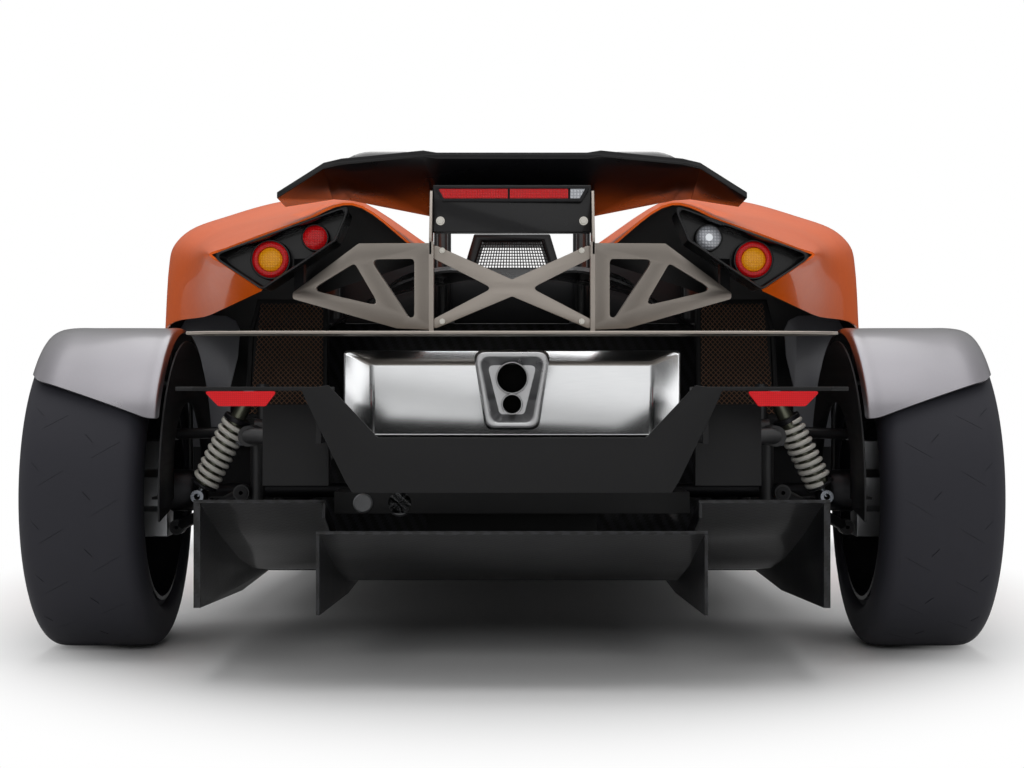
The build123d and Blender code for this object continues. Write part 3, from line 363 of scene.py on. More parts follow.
# Clear and coloured lamp plastics with pillow optics moulded behind a smooth face
RED_LENS = Finish(
    "red lamp acrylic", "#D81219", "#A3080D", Pattern.OPTICS,
    roughness=0.2, coat=0.3, coat_roughness=0.02, specular=0.2, grain=5.0, depth=0.7, shade=0.2,
)
AMBER_LENS = Finish(
    "amber lamp acrylic", "#FFB41C", "#E08408", Pattern.OPTICS,
    roughness=0.2, coat=0.3, coat_roughness=0.02, specular=0.2, grain=5.0, depth=0.9, shade=0.2,
)
CLEAR_LENS = Finish(
    "clear lamp acrylic", "#C9CCD2", "#7D8087", Pattern.OPTICS,
    metallic=0.4, roughness=0.12, coat=1.0, coat_roughness=0.02, grain=6.0, depth=1.0,
)
# Prism-moulded reflector: even bright red
REFLECTOR_RED = Finish(
    "red reflector", "#E61C24", "#C2121A", Pattern.OPTICS,
    roughness=0.3, coat=0.15, specular=0.15, grain=3.5, depth=0.4, shade=0.15,
)
# Spring steel sprayed in a pale grey: even, soft sheen
SPRING_GREY = Finish(
    "pale grey sprayed spring steel", "#D2D0C8", "#B7B5AE", Pattern.SPRAYED,
    roughness=0.34, coat=0.3, coat_roughness=0.1, grain=4.0,
)
# Stamped steel wire, painted black, that fills an air opening
WIRE_BLACK = Finish("black painted wire", "#101012", "#1B1B1D", Pattern.MOULDED)
# Aluminium wire of the cooler guards: the grey is the wire's own, and the warm brown tint is a painted reflection of
# the orange panels around it
REFLECTION_TINTED_WIRE = Finish("dull aluminium wire", "#9C7458", "#5C4A40", Pattern.CAST, metallic=0.4, roughness=0.45)
# Soot inside the exhaust pipes
SOOT = Finish("dry soot", "#030303", "#080807", Pattern.CAST, roughness=0.95, specular=0.1, grain=2.0, depth=0.1)
# Silvered glass behind a clear face
MIRROR_GLASS = Finish(
    "silvered glass", "#D9DDE0", "#C8CCD0", Pattern.SPRAYED, metallic=1.0, roughness=0.04, grain=40.0, depth=0.002,
    shade=0.1,
)
# Smoked cast acrylic of the low screen
SMOKED_ACRYLIC = Finish(
    "smoked cast acrylic", "#3A3D40", "#33363A", Pattern.SPRAYED, roughness=0.05, grain=40.0, depth=0.002,
    shade=0.1, transmission=0.85,
)
# Bright zinc-plated bolts
ZINC_BOLT = Finish(
    "bright zinc plate", "#C9C6BE", "#AFACA4", Pattern.BLASTED, metallic=1.0, roughness=0.26, depth=0.01,
)
# Black oxide bolts
BLACK_BOLT = Finish(
    "black oxide steel", "#1D1D20", "#28282B", Pattern.BLASTED, metallic=0.6, roughness=0.4, depth=0.01,
)
# Suede-like cover of the seat pads
PAD_CLOTH = Finish(
    "brushed seat fabric", "#1E1E22", "#33333A", Pattern.TWILL, roughness=0.9, specular=0.15, grain=3.0, depth=0.35,
    shade=0.35,
)
# Moulded plastic skirt: black, a dull even sheen
SKIRT_PLASTIC = Finish(
    "dull black moulded plastic", "#171718", "#1F1F20", Pattern.MOULDED,
    roughness=0.46, specular=0.22, grain=2.2, depth=0.05,
)

RA = REAR_AXLE_Y / MM
FA = FRONT_AXLE_Y / MM


def placed(origin: Point, right: Point, up: Point) -> Matrix:
    """Returns the placing of a flat outline.

    Args:
        origin: Where the outline's own origin goes.
        right: The direction of its first axis.
        up: The direction of its second axis.

    Returns:
        The matrix from outline to car, its third axis square to both.
    """
    first, second = Vector(right).normalized(), Vector(up).normalized()
    third = first.cross(second)
    columns = [first.to_4d(), second.to_4d(), third.to_4d(), Vector(origin).to_4d()]
    for column in columns[:3]:
        column.w = 0
    return Matrix(columns).transposed()


def facing_rear(y: float) -> Matrix:
    """Returns a plane across the car at a station: right, up, and its third axis rearward."""
    return placed((0, y, 0), (1, 0, 0), (0, 0, 1))


def facing_side(x: float) -> Matrix:
    """Returns a plane along the car at an offset: forward, up, and its third axis to the right."""
    return placed((x, 0, 0), (0, 1, 0), (0, 0, 1))


def rounded(outline: list[Flat], radius: float, steps: int = 5, closed: bool = True) -> list[Flat]:
    """Rounds the corners of an outline.

    Args:
        outline: Its corners.
        radius: The corners' radius, less where a side is too short.
        steps: Flats per corner.
        closed: Whether the last corner joins the first.

    Returns:
        The rounded outline's points.
    """
    corners = [Vector(corner) for corner in outline]
    result: list[Flat] = []
    for i, here in enumerate(corners):
        if not closed and i in (0, len(corners) - 1):
            result.append((here.x, here.y))
            continue
        before, after = corners[i - 1], corners[(i + 1) % len(corners)]
        into, out = (before - here).normalized(), (after - here).normalized()
        half = into.angle(out) / 2
        reach = min(radius / math.tan(half), (before - here).length * 0.48, (after - here).length * 0.48)
        start, end = here + into * reach, here + out * reach
        for step in range(steps + 1):
            t = step / steps
            spot = start * (1 - t) ** 2 + here * 2 * t * (1 - t) + end * t * t
            result.append((spot.x, spot.y))
    return result


def flowing(points: Line, steps: int) -> Line:
    """Runs a smooth line through points.

    Args:
        points: The points that it passes.
        steps: Stretches between each two.

    Returns:
        The line's points, the given ones among them.
    """
    run = [2 * points[0] - points[1], *points, 2 * points[-1] - points[-2]]
    line = []
    for p0, p1, p2, p3 in zip(run, run[1:], run[2:], run[3:]):
        t1 = max((p1 - p0).length, 1e-6) ** 0.5
        t2 = t1 + max((p2 - p1).length, 1e-6) ** 0.5
        t3 = t2 + max((p3 - p2).length, 1e-6) ** 0.5
        for step in range(steps):
            t = t1 + (t2 - t1) * step / steps
            a1 = p0 + (p1 - p0) * (t / t1)
            a2 = p1 + (p2 - p1) * ((t - t1) / (t2 - t1))
            a3 = p2 + (p3 - p2) * ((t - t2) / (t3 - t2))
            b1 = a1 + (a2 - a1) * (t / t2)
            b2 = a2 + (a3 - a2) * ((t - t1) / (t3 - t1))
            line.append(b1 + (b2 - b1) * ((t - t1) / (t2 - t1)))
    line.append(points[-1].copy())
    return line


def smooth_rows(rows: Rows, across: int, along: int) -> Rows:
    """Fills a net of points with smooth lines both ways.

    Args:
        rows: Rows of equally many points.
        across: Stretches between two points of a row.
        along: Stretches between two rows.

    Returns:
        The finer rows.
    """
    fine = [flowing(row, across) for row in rows]
    columns = [flowing([row[i] for row in fine], along) for i in range(len(fine[0]))]
    return [[column[i] for column in columns] for i in range(len(columns[0]))]


class Blank:
    """Points and faces of one piece, each face with its own finish."""

    def __init__(self, finish: Finish) -> None:
        """Starts an empty piece.

        Args:
            finish: The finish of the first faces.
        """
        self.points: Line = []
        self.faces: list[list[int]] = []
        self.slots: list[int] = []
        self.finishes: list[Finish] = [finish]
        self.slot = 0

    def take(self, finish: Finish) -> Blank:
        """Gives the faces that follow another finish, and returns the piece."""
        if finish not in self.finishes:
            self.finishes.append(finish)
        self.slot = self.finishes.index(finish)
        return self

    def face(self, corners: list[int]) -> None:
        """Adds one face by its points' numbers."""
        self.faces.append(corners)
        self.slots.append(self.slot)

    def net(self, rows: Rows, looped: bool = True, capped: bool = True, ring: bool = False) -> Blank:
        """Skins rows of equally many points.

        Args:
            rows: The rows.
            looped: Whether each row's last point joins its first.
            capped: Whether the first and last rows are closed with a face.
            ring: Whether the last row joins the first.

        Returns:
            The piece.
        """
        start, width, count = len(self.points), len(rows[0]), len(rows)
        for row in rows:
            self.points += [Vector(point) for point in row]
        for r in range(count if ring else count - 1):
            near, far = start + r * width, start + (r + 1) % count * width
            for c in range(width if looped else width - 1):
                d = (c + 1) % width
                self.face([near + c, near + d, far + d, far + c])
        if capped and not ring:
            self.face([start + c for c in range(width)])
            self.face([start + (count - 1) * width + c for c in range(width)])
        return self

    def tube(self, path: list[Point], radius: float, sides: int = 20) -> Blank:
        """Adds a round tube with closed ends.

        Args:
            path: The points of its middle line.
            radius: Its outside radius.
            sides: Its flats.

        Returns:
            The piece.
        """
        line = [Vector(point) for point in path]
        rows, side = [], None
        for i, here in enumerate(line):
            ahead = (line[min(i + 1, len(line) - 1)] - line[max(i - 1, 0)]).normalized()
            side = side or ahead.orthogonal()
            side = (side - ahead * side.dot(ahead)).normalized()
            up = ahead.cross(side)
            turns = [2 * math.pi * step / sides for step in range(sides)]
            rows.append([here + (side * math.cos(turn) + up * math.sin(turn)) * radius for turn in turns])
        return self.net(rows)

    def lathe(self, profile: list[Flat], origin: Point, axis: Point, segments: int = 48) -> Blank:
        """Adds a turned form, a closed ring where its profile doesn't start on the axis.

        Args:
            profile: Points of distance along the axis and radius.
            origin: Where the distance is zero.
            axis: The axis' direction.
            segments: Its flats.

        Returns:
            The piece.
        """
        aim = Vector(axis).normalized()
        side = Vector((0, 0, 1)) if abs(aim.z) < 0.9 else Vector((0, 1, 0))
        side = (side - aim * side.dot(aim)).normalized()
        up = aim.cross(side)
        rows = []
        for step in range(segments):
            turn = 2 * math.pi * step / segments
            out = side * math.cos(turn) + up * math.sin(turn)
            rows.append([Vector(origin) + aim * along + out * radius for along, radius in profile])
        return self.net(rows, looped=profile[0][1] > 0, ring=True)

    def prism(self, outline: list[Flat], plane: Matrix, low: float, high: float) -> Blank:
        """Adds an outline given depth along its plane's third axis, and returns the piece."""
        return self.net([[plane @ Vector((u, v, depth)) for u, v in outline] for depth in (low, high)])

    def block(self, low: Point, high: Point) -> Blank:
        """Adds a bar with square sides between two corners, and returns the piece."""
        base = [(low[0], low[1]), (high[0], low[1]), (high[0], high[1]), (low[0], high[1])]
        return self.prism(base, Matrix.Identity(4), low[2], high[2])

    def plate(self, outlines: list[list[Flat]], plane: Matrix, low: float, high: float, edge: float = 0.6) -> Blank:
        """Adds a flat plate, with holes where outlines lie inside another, its edges eased.

        Args:
            outlines: The outer outline and the holes.
            plane: Where the outlines lie.
            low: One face's distance along the plane's third axis.
            high: The other face's.
            edge: The eased edge's width.

        Returns:
            The piece.
        """
        curve = bpy.data.curves.new("outline", "CURVE")
        curve.dimensions, curve.fill_mode = "2D", "BOTH"
        curve.extrude = (high - low) / 2 - edge
        curve.bevel_depth, curve.bevel_resolution, curve.offset = edge, 1, -edge
        for outline in outlines:
            spline = curve.splines.new("POLY")
            spline.points.add(len(outline) - 1)
            for knot, (u, v) in zip(spline.points, outline):
                knot.co = (u, v, 0, 1)
            spline.use_cyclic_u = True
        holder = bpy.data.objects.new("outline", curve)
        mesh = bpy.data.meshes.new_from_object(holder)
        start, middle = len(self.points), (low + high) / 2
        self.points += [plane @ (vertex.co + Vector((0, 0, middle))) for vertex in mesh.vertices]
        for polygon in mesh.polygons:
            self.face([start + i for i in polygon.vertices])
        bpy.data.objects.remove(holder)
        bpy.data.curves.remove(curve)
        bpy.data.meshes.remove(mesh)
        return self

    def sheet(self, rows: Rows, wall: float, inside: Finish | None = None) -> Blank:
        """Adds a curved skin with a wall behind it, on the side to which its rows turn left.

        Args:
            rows: Rows of points on the outer face.
            wall: Its thickness; a negative one goes to the other side.
            inside: The inner face's finish, where it has its own.

        Returns:
            The piece.
        """
        count, width = len(rows), len(rows[0])
        back = [[] for _ in rows]
        for r, c in ((r, c) for r in range(count) for c in range(width)):
            along = rows[min(r + 1, count - 1)][c] - rows[max(r - 1, 0)][c]
            across = rows[r][min(c + 1, width - 1)] - rows[r][max(c - 1, 0)]
            back[r].append(rows[r][c] + along.cross(across).normalized() * wall)
        start, size, outer = len(self.points), count * width, self.slot
        self.net(rows, looped=False, capped=False)
        if inside:
            self.take(inside)
        self.net(back, looped=False, capped=False)
        self.slot = outer
        rim = [c for c in range(width)] + [r * width + width - 1 for r in range(1, count)]
        rim += [(count - 1) * width + c for c in range(width - 2, -1, -1)]
        rim += [r * width for r in range(count - 2, 0, -1)]
        for first, second in zip(rim, rim[1:] + rim[:1]):
            self.face([start + first, start + second, start + size + second, start + size + first])
        return self

    def mirror(self) -> Blank:
        """Adds the piece's twin across the car's middle plane, and returns the piece."""
        count = len(self.points)
        self.points += [Vector((-point.x, point.y, point.z)) for point in self.points]
        self.faces += [[count + i for i in face] for face in self.faces]
        self.slots += self.slots
        return self

    def flipped(self) -> Blank:
        """Turns the whole piece into its own twin across the middle plane, and returns it."""
        self.points = [Vector((-point.x, point.y, point.z)) for point in self.points]
        return self

    def mesh(self, name: str) -> Mesh:
        """Returns the piece as a mesh in metres, its doubles merged and its faces turned outward."""
        made = bpy.data.meshes.new(name)
        made.from_pydata([point * MM for point in self.points], [], self.faces)
        made.polygons.foreach_set("material_index", self.slots)
        for finish in self.finishes:
            made.materials.append(finish.material())
        tidy(made, 2e-5, 0.0)
        return made

    def make(self, name: str, nodes: tuple[str, ...] = (), body: str = "chassis", **edges: float | str) -> Object:
        """Finishes the piece and hangs it on its body.

        Args:
            name: The piece's name.
            nodes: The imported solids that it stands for.
            body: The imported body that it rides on.
            edges: The bevel, slot and sharp that hang takes.

        Returns:
            The finished object.
        """
        return hang(self.mesh(name), name, nodes, body, **edges)


def stand(name: str, data: bpy.types.ID) -> Object:
    """Adds an object to the scene and returns it."""
    made = bpy.data.objects.new(name, data)
    bpy.context.scene.collection.objects.link(made)
    return made


def tidy(mesh: Mesh, gap: float, flat: float) -> None:
    """Merges a mesh's doubles, joins its flat faces and turns the faces outward.

    Args:
        mesh: The mesh to clean.
        gap: How near points are merged, in metres.
        flat: The angle under which faces are joined, in radians; none where it is zero.
    """
    shape = bmesh.new()
    shape.from_mesh(mesh)
    bmesh.ops.remove_doubles(shape, verts=shape.verts, dist=gap)
    bmesh.ops.dissolve_degenerate(shape, dist=1e-6, edges=shape.edges)
    if flat:
        bmesh.ops.dissolve_limit(shape, angle_limit=flat, verts=shape.verts, edges=shape.edges)
    bmesh.ops.recalc_face_normals(shape, faces=shape.faces)
    shape.to_mesh(mesh)
    shape.free()


def hang(
    mesh: Mesh, name: str, nodes: tuple[str, ...] = (), body: str = "chassis", bevel: float = 0.0, slot: str = "",
    sharp: float = 38.0,
) -> Object:
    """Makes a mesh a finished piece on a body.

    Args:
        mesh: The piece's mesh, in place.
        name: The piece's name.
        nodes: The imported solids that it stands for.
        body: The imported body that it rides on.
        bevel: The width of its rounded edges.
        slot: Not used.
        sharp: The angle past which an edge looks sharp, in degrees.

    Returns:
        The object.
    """
    made = stand(name, mesh)
    mesh.polygons.foreach_set("use_smooth", [True] * len(mesh.polygons))
    if bevel:
        round_off = made.modifiers.new("rounded edges", "BEVEL")
        round_off.width = bevel * MM
        round_off.segments = 3 if bevel > 2 else 2
        round_off.limit_method = "ANGLE"
        round_off.angle_limit = math.radians(28)
        round_off.harden_normals = True
    else:
        mesh.set_sharp_from_angle(angle=math.radians(sharp))
    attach(made, body)
    if nodes:
        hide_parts(*nodes)
    LOG.info("made %s", name)
    return made


def refined(node: str, finish: Finish, bevel: float, body: str = "chassis") -> Object:
    """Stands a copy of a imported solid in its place, its edges rounded over.

    Args:
        node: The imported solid.
        finish: Its finish.
        bevel: The rounded edges' width.
        body: The body that it rides on.

    Returns:
        The new piece.
    """
    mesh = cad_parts[node].data.copy()
    mesh.name = f"{node}_rounded"
    mesh.materials.clear()
    mesh.materials.append(finish.material())
    tidy(mesh, 1e-6, 0.008)
    return hang(mesh, f"{node}_rounded", (node,), body, bevel)


def applied(holder: Object) -> Mesh:
    """Returns an object's mesh with its modifiers applied."""
    bpy.context.view_layer.update()
    return bpy.data.meshes.new_from_object(holder.evaluated_get(bpy.context.evaluated_depsgraph_get()))


class Growth:
    """A Geometry Nodes tree with named sizes, which grows repeated shapes on a plain mesh."""

    def __init__(self, name: str, sizes: dict[str, float]) -> None:
        """Makes the tree's group with one input for each size.

        Args:
            name: The tree's name.
            sizes: Each input's name with its usual value.
        """
        self.tree = bpy.data.node_groups.new(name, "GeometryNodeTree")
        sockets = self.tree.interface
        sockets.new_socket("Geometry", in_out="INPUT", socket_type="NodeSocketGeometry")
        self.keys: dict[str, str] = {}
        for label, value in sizes.items():
            socket = sockets.new_socket(label, in_out="INPUT", socket_type="NodeSocketFloat")
            socket.default_value = value
            self.keys[label] = socket.identifier
        material = sockets.new_socket("Finish", in_out="INPUT", socket_type="NodeSocketMaterial")
        self.keys["Finish"] = material.identifier
        sockets.new_socket("Geometry", in_out="OUTPUT", socket_type="NodeSocketGeometry")
        self.source = self.tree.nodes.new("NodeGroupInput")

    def close(self, grown: Socket) -> None:
        """Ends the tree: real geometry with its finish set.

        Args:
            grown: The geometry so far.
        """
        real = add_node(self.tree, "GeometryNodeRealizeInstances", {}, {"Geometry": grown})
        dressed = add_node(
            self.tree, "GeometryNodeSetMaterial", {},
            {"Geometry": real.outputs[0], "Material": self.source.outputs["Finish"]},
        )
        add_node(self.tree, "NodeGroupOutput", {}, {0: dressed.outputs[0]})

    def grow(self, name: str, base: Mesh, finish: Finish, sizes: dict[str, float]) -> Mesh:
        """Runs the tree on a base mesh and keeps the result as a plain mesh.

        Args:
            name: The result's name.
            base: The points or edges that the shapes grow on.
            finish: The result's finish.
            sizes: Input names with their values.

        Returns:
            The plain mesh.
        """
        holder = stand(name, base)
        growth = holder.modifiers.new("growth", "NODES")
        growth.node_group = self.tree
        for label, value in sizes.items():
            growth[self.keys[label]] = float(value)
        growth[self.keys["Finish"]] = finish.material()
        result = applied(holder)
        holder.modifiers.remove(growth)
        bpy.data.objects.remove(holder)
        tidy(result, 1e-6, 0.0)
        result.name = name
        return result


def plain(name: str, points: list[Point], edges: list[tuple[int, int]]) -> Mesh:
    """Returns a mesh of points and edges for a tree to grow on."""
    mesh = bpy.data.meshes.new(name)
    mesh.from_pydata([Vector(point) * MM for point in points], edges, [])
    return mesh


@dataclass
class Hardware:
    """The three trees of repeated shapes: bolts, wire guards and springs."""

    bolt_tree: Growth = field(init=False)
    wire_tree: Growth = field(init=False)
    spring_tree: Growth = field(init=False)

    def __post_init__(self) -> None:
        """Builds the trees."""
        self.bolt_tree = self.bolts()
        self.wire_tree = self.wires()
        self.spring_tree = self.springs()

    def bolts(self) -> Growth:
        """Returns the tree that sets a flanged hexagon head on each point."""
        growth = Growth("flanged bolts", {"Head": 5 * MM, "Rise": 4 * MM, "Aim X": 0, "Aim Y": -1, "Aim Z": 0})
        tree, source = growth.tree, growth.source.outputs
        third, narrow, taper, crown = [
            add_node(tree, "ShaderNodeMath", {"operation": "MULTIPLY", 1: share}, {0: source[size]}).outputs[0]
            for size, share in (("Rise", 0.35), ("Head", 0.74), ("Head", 0.9), ("Head", 0.66))
        ]
        flange = add_node(
            tree, "GeometryNodeMeshCone", {"Vertices": 20},
            {"Radius Top": taper, "Radius Bottom": source["Head"], "Depth": third},
        )
        head = add_node(
            tree, "GeometryNodeMeshCone", {"Vertices": 6},
            {"Radius Top": crown, "Radius Bottom": narrow, "Depth": source["Rise"]},
        )
        both = add_node(tree, "GeometryNodeJoinGeometry")
        tree.links.new(flange.outputs["Mesh"], both.inputs[0])
        tree.links.new(head.outputs["Mesh"], both.inputs[0])
        aim = add_node(tree, "ShaderNodeCombineXYZ", {}, {0: source["Aim X"], 1: source["Aim Y"], 2: source["Aim Z"]})
        turn = add_node(tree, "FunctionNodeAlignRotationToVector", {"axis": "Z"}, {"Vector": aim.outputs[0]})
        spots = add_node(tree, "GeometryNodeMeshToPoints", {}, {"Mesh": source["Geometry"]})
        set_out = add_node(
            tree, "GeometryNodeInstanceOnPoints", {},
            {"Points": spots.outputs[0], "Instance": both.outputs[0], "Rotation": turn.outputs[0]},
        )
        growth.close(set_out.outputs[0])
        return growth

    def wires(self) -> Growth:
        """Returns the tree that turns each edge into a round wire."""
        growth = Growth("wire guard", {"Wire": 1 * MM})
        tree, source = growth.tree, growth.source.outputs
        lines = add_node(tree, "GeometryNodeMeshToCurve", {}, {"Mesh": source["Geometry"]})
        section = add_node(tree, "GeometryNodeCurvePrimitiveCircle", {"Resolution": 5}, {"Radius": source["Wire"]})
        wire = add_node(
            tree, "GeometryNodeCurveToMesh", {"Fill Caps": True},
            {"Curve": lines.outputs[0], "Profile Curve": section.outputs[0]},
        )
        growth.close(wire.outputs[0])
        return growth

    def springs(self) -> Growth:
        """Returns the tree that winds a coil spring along +Z from each object's own origin."""
        growth = Growth("coil spring", {"Turns": 8, "Coil": 26 * MM, "Wire": 5 * MM, "Length": 150 * MM})
        tree, source = growth.tree, growth.source.outputs
        coil = add_node(
            tree, "GeometryNodeCurveSpiral", {"Resolution": 28},
            {"Rotations": source["Turns"], "Start Radius": source["Coil"], "End Radius": source["Coil"],
             "Height": source["Length"]},
        )
        section = add_node(tree, "GeometryNodeCurvePrimitiveCircle", {"Resolution": 12}, {"Radius": source["Wire"]})
        wire = add_node(
            tree, "GeometryNodeCurveToMesh", {"Fill Caps": True},
            {"Curve": coil.outputs[0], "Profile Curve": section.outputs[0]},
        )
        growth.close(wire.outputs[0])
        return growth

    def bolt_row(
        self, name: str, spots: list[Point], aim: Point, head: float, body: str = "chassis",
        finish: Finish = ZINC_BOLT, slot: str = "alloy",
    ) -> None:
        """Sets bolts on points.

        Args:
            name: The piece's name.
            spots: Their seats.
            aim: The direction that the heads face.
            head: The flange's radius.
            body: The body that they ride on.
            finish: Their finish.
            slot: Handed on to hang, which does not use it.
        """
        base = plain(name, spots, [])
        sizes = {"Head": head * MM, "Rise": head * 0.7 * MM, "Aim X": aim[0], "Aim Y": aim[1], "Aim Z": aim[2]}
        hang(self.bolt_tree.grow(name, base, finish, sizes), name, body=body, slot=slot)

    def guard(
        self, name: str, corners: list[Point], pitch: float, wire: float, finish: Finish, slanted: bool,
        slot: str, twin: bool = False,
    ) -> None:
        """Fills a four-sided opening with wires.

        Args:
            name: The piece's name.
            corners: The opening's corners, in turn.
            pitch: The wires' spacing.
            wire: A wire's radius.
            finish: Their finish.
            slanted: Whether the wires cross as diamonds rather than squares.
            slot: Handed on to hang, which does not use it.
            twin: Whether the other side of the car has one too.
        """
        a, b, c, d = [Vector(corner) for corner in corners]
        columns = max(round((b - a).length / pitch), 2)
        rows = max(round((d - a).length / pitch), 2)
        points, edges = [], []
        for sign in (1, -1) if twin else (1,):
            start = len(points)
            for r in range(rows + 1):
                left, right = a.lerp(d, r / rows), b.lerp(c, r / rows)
                for i in range(columns + 1):
                    spot = left.lerp(right, i / columns)
                    points.append(Vector((spot.x * sign, spot.y, spot.z)))
            wide = columns + 1
            for r in range(rows + 1):
                for i in range(columns + 1):
                    here = start + r * wide + i
                    ends = [(i + 1, r + 1), (i - 1, r + 1)] if slanted else [(i + 1, r), (i, r + 1)]
                    if slanted and (i + r) % 2:
                        continue
                    edges += [
                        (here, start + row * wide + column) for column, row in ends
                        if 0 <= column <= columns and row <= rows
                    ]
        base = plain(name, points, edges)
        hang(self.wire_tree.grow(name, base, finish, {"Wire": wire * MM}), name, slot=slot)

    def spring(self, name: str, foot: Vector, head: Vector, coil: float, wire: float, turns: float) -> None:
        """Winds a spring between two points.

        Args:
            name: The piece's name.
            foot: The lower seat.
            head: The upper seat.
            coil: The middle line's radius.
            wire: The wire's radius.
            turns: The number of turns.
        """
        reach = head - foot
        base = plain(name, [Vector((0, 0, 0))], [])
        sizes = {"Turns": turns, "Coil": coil * MM, "Wire": wire * MM, "Length": reach.length * MM}
        mesh = self.spring_tree.grow(name, base, SPRING_GREY, sizes)
        turn = reach.to_track_quat("Z", "Y").to_matrix().to_4x4()
        mesh.transform(Matrix.Translation(foot * MM) @ turn)
        hang(mesh, name, slot="coilover")


@dataclass
class Studio:
    """Pale floor, soft lights and the photograph's camera."""

    eye_distance: float = 3784 * MM
    eye_height: float = 545 * MM
    lens_mm: float = 63.46
    floor_half: float = 40.0
    floor_colour: str = "#F2F2F2"
    shadow: tuple[float, float] = (1.15, 1.95)

    def build(self) -> None:
        """Makes the floor, the world, the lamps and the camera."""
        self.camera()
        self.floor()
        self.world()
        self.lamp("overhead", (0, 0.2, 5.0), (0, 0.2, 0), (4.2, 7.5), 165)
        for side in (Side.LEFT, Side.RIGHT):
            self.lamp(f"{side.word}_strip", (side.value * 4.6, -1.8, 2.4), (0, -1.0, 0.5), (1.4, 4.5), 26)
        self.lamp("behind_eye", (0, -6.6, 2.6), (0, -1.4, 0.6), (5.0, 1.6), 70, False)
        self.lamp("front_fill", (0, 7.5, 3.2), (0, 1.0, 0.5), (5.0, 2.4), 35, False)
        bpy.context.scene.view_settings.view_transform = "Standard"
        LOG.info("studio built")

    def camera(self) -> None:
        """Places a level camera behind the car, at the photograph's distance, height and field of view."""
        data = bpy.data.cameras.new("eye")
        data.sensor_width = 36
        data.lens = self.lens_mm
        data.clip_end = 200
        eye = stand("eye", data)
        eye.location = (0, REAR_AXLE_Y - self.eye_distance, self.eye_height)
        eye.rotation_euler = (math.pi / 2, 0, 0)
        bpy.context.scene.camera = eye

    def floor(self) -> None:
        """Lays a pale floor that keeps the car's shadow and fades to white far away."""
        half = self.floor_half
        mesh = bpy.data.meshes.new("floor")
        mesh.from_pydata([(-half, -half, 0), (half, -half, 0), (half, half, 0), (-half, half, 0)], [], [(0, 1, 2, 3)])
        made = bpy.data.materials.new("pale floor paint")
        made.use_nodes = True
        tree = made.node_tree
        tree.nodes.clear()
        coords = add_node(tree, "ShaderNodeTexCoord")
        reach = add_node(
            tree, "ShaderNodeMapping", {"Scale": (1 / self.shadow[0], 1 / self.shadow[1], 1)},
            {"Vector": coords.outputs["Object"]},
        )
        far = add_node(tree, "ShaderNodeVectorMath", {"operation": "LENGTH"}, {0: reach.outputs[0]})
        fade = add_node(
            tree, "ShaderNodeMapRange", {"From Min": 0.95, "From Max": 1.32, "interpolation_type": "SMOOTHSTEP"},
            {"Value": far.outputs["Value"]},
        )
        path = add_node(tree, "ShaderNodeLightPath")
        seen = add_node(
            tree, "ShaderNodeMath", {"operation": "MULTIPLY"}, {0: path.outputs["Is Camera Ray"], 1: fade.outputs[0]}
        )
        paint = add_node(tree, "ShaderNodeBsdfDiffuse", {"Color": linear(self.floor_colour)})
        glow = add_node(tree, "ShaderNodeEmission", {"Color": (1, 1, 1, 1), "Strength": 1.0})
        mix = add_node(tree, "ShaderNodeMixShader", {}, {0: seen.outputs[0], 1: paint.outputs[0], 2: glow.outputs[0]})
        add_node(tree, "ShaderNodeOutputMaterial", {}, {"Surface": mix.outputs[0]})
        mesh.materials.append(made)
        stand("floor", mesh)

    def world(self) -> None:
        """White to the camera, a graded studio to gloss and glass, and a plain soft light to the rest."""
        made = bpy.data.worlds.new("studio")
        bpy.context.scene.world = made
        made.use_nodes = True
        tree = made.node_tree
        tree.nodes.clear()
        coords = add_node(tree, "ShaderNodeTexCoord")
        split = add_node(tree, "ShaderNodeSeparateXYZ", {}, {0: coords.outputs["Generated"]})
        rise = add_node(
            tree, "ShaderNodeMapRange",
            {"From Min": 0.05, "From Max": 0.85, "To Min": 0.08, "To Max": 0.95}, {"Value": split.outputs[2]},
        )
        behind = add_node(
            tree, "ShaderNodeMapRange",
            {"From Min": -0.7, "From Max": -0.94, "To Min": 0.0, "To Max": 1.0}, {"Value": split.outputs[1]},
        )
        studio = add_node(
            tree, "ShaderNodeMath", {"operation": "MAXIMUM"}, {0: rise.outputs[0], 1: behind.outputs[0]}
        )
        path = add_node(tree, "ShaderNodeLightPath")
        soft = add_node(tree, "ShaderNodeBackground", {"Color": (1, 1, 1, 1), "Strength": 0.33})
        graded = add_node(tree, "ShaderNodeBackground", {"Color": (1, 1, 1, 1)}, {"Strength": studio.outputs[0]})
        white = add_node(tree, "ShaderNodeBackground", {"Color": (1, 1, 1, 1), "Strength": 1.0})
        gloss = add_node(
            tree, "ShaderNodeMixShader", {},
            {0: path.outputs["Is Glossy Ray"], 1: soft.outputs[0], 2: graded.outputs[0]},
        )
        clear = add_node(
            tree, "ShaderNodeMath", {"operation": "MAXIMUM"},
            {0: path.outputs["Is Camera Ray"], 1: path.outputs["Is Transmission Ray"]},
        )
        seen = add_node(
            tree, "ShaderNodeMixShader", {}, {0: clear.outputs[0], 1: gloss.outputs[0], 2: white.outputs[0]}
        )
        add_node(tree, "ShaderNodeOutputWorld", {}, {"Surface": seen.outputs[0]})

    def lamp(
        self, name: str, place: Point, target: Point, size: tuple[float, float], watts: float, mirrored: bool = True,
    ) -> None:
        """Hangs one soft box.

        Args:
            name: The lamp's name.
            place: Its centre.
            target: The point that it faces.
            size: Width and height of its face.
            watts: Its power.
            mirrored: Whether gloss shows it.
        """
        data = bpy.data.lights.new(name, "AREA")
        data.shape = "RECTANGLE"
        data.size, data.size_y = size
        data.energy = watts
        box = stand(name, data)
        box.location = place
        aim = Vector(target) - Vector(place)
        box.rotation_euler = aim.to_track_quat("-Z", "Y").to_euler()
        box.visible_glossy = mirrored


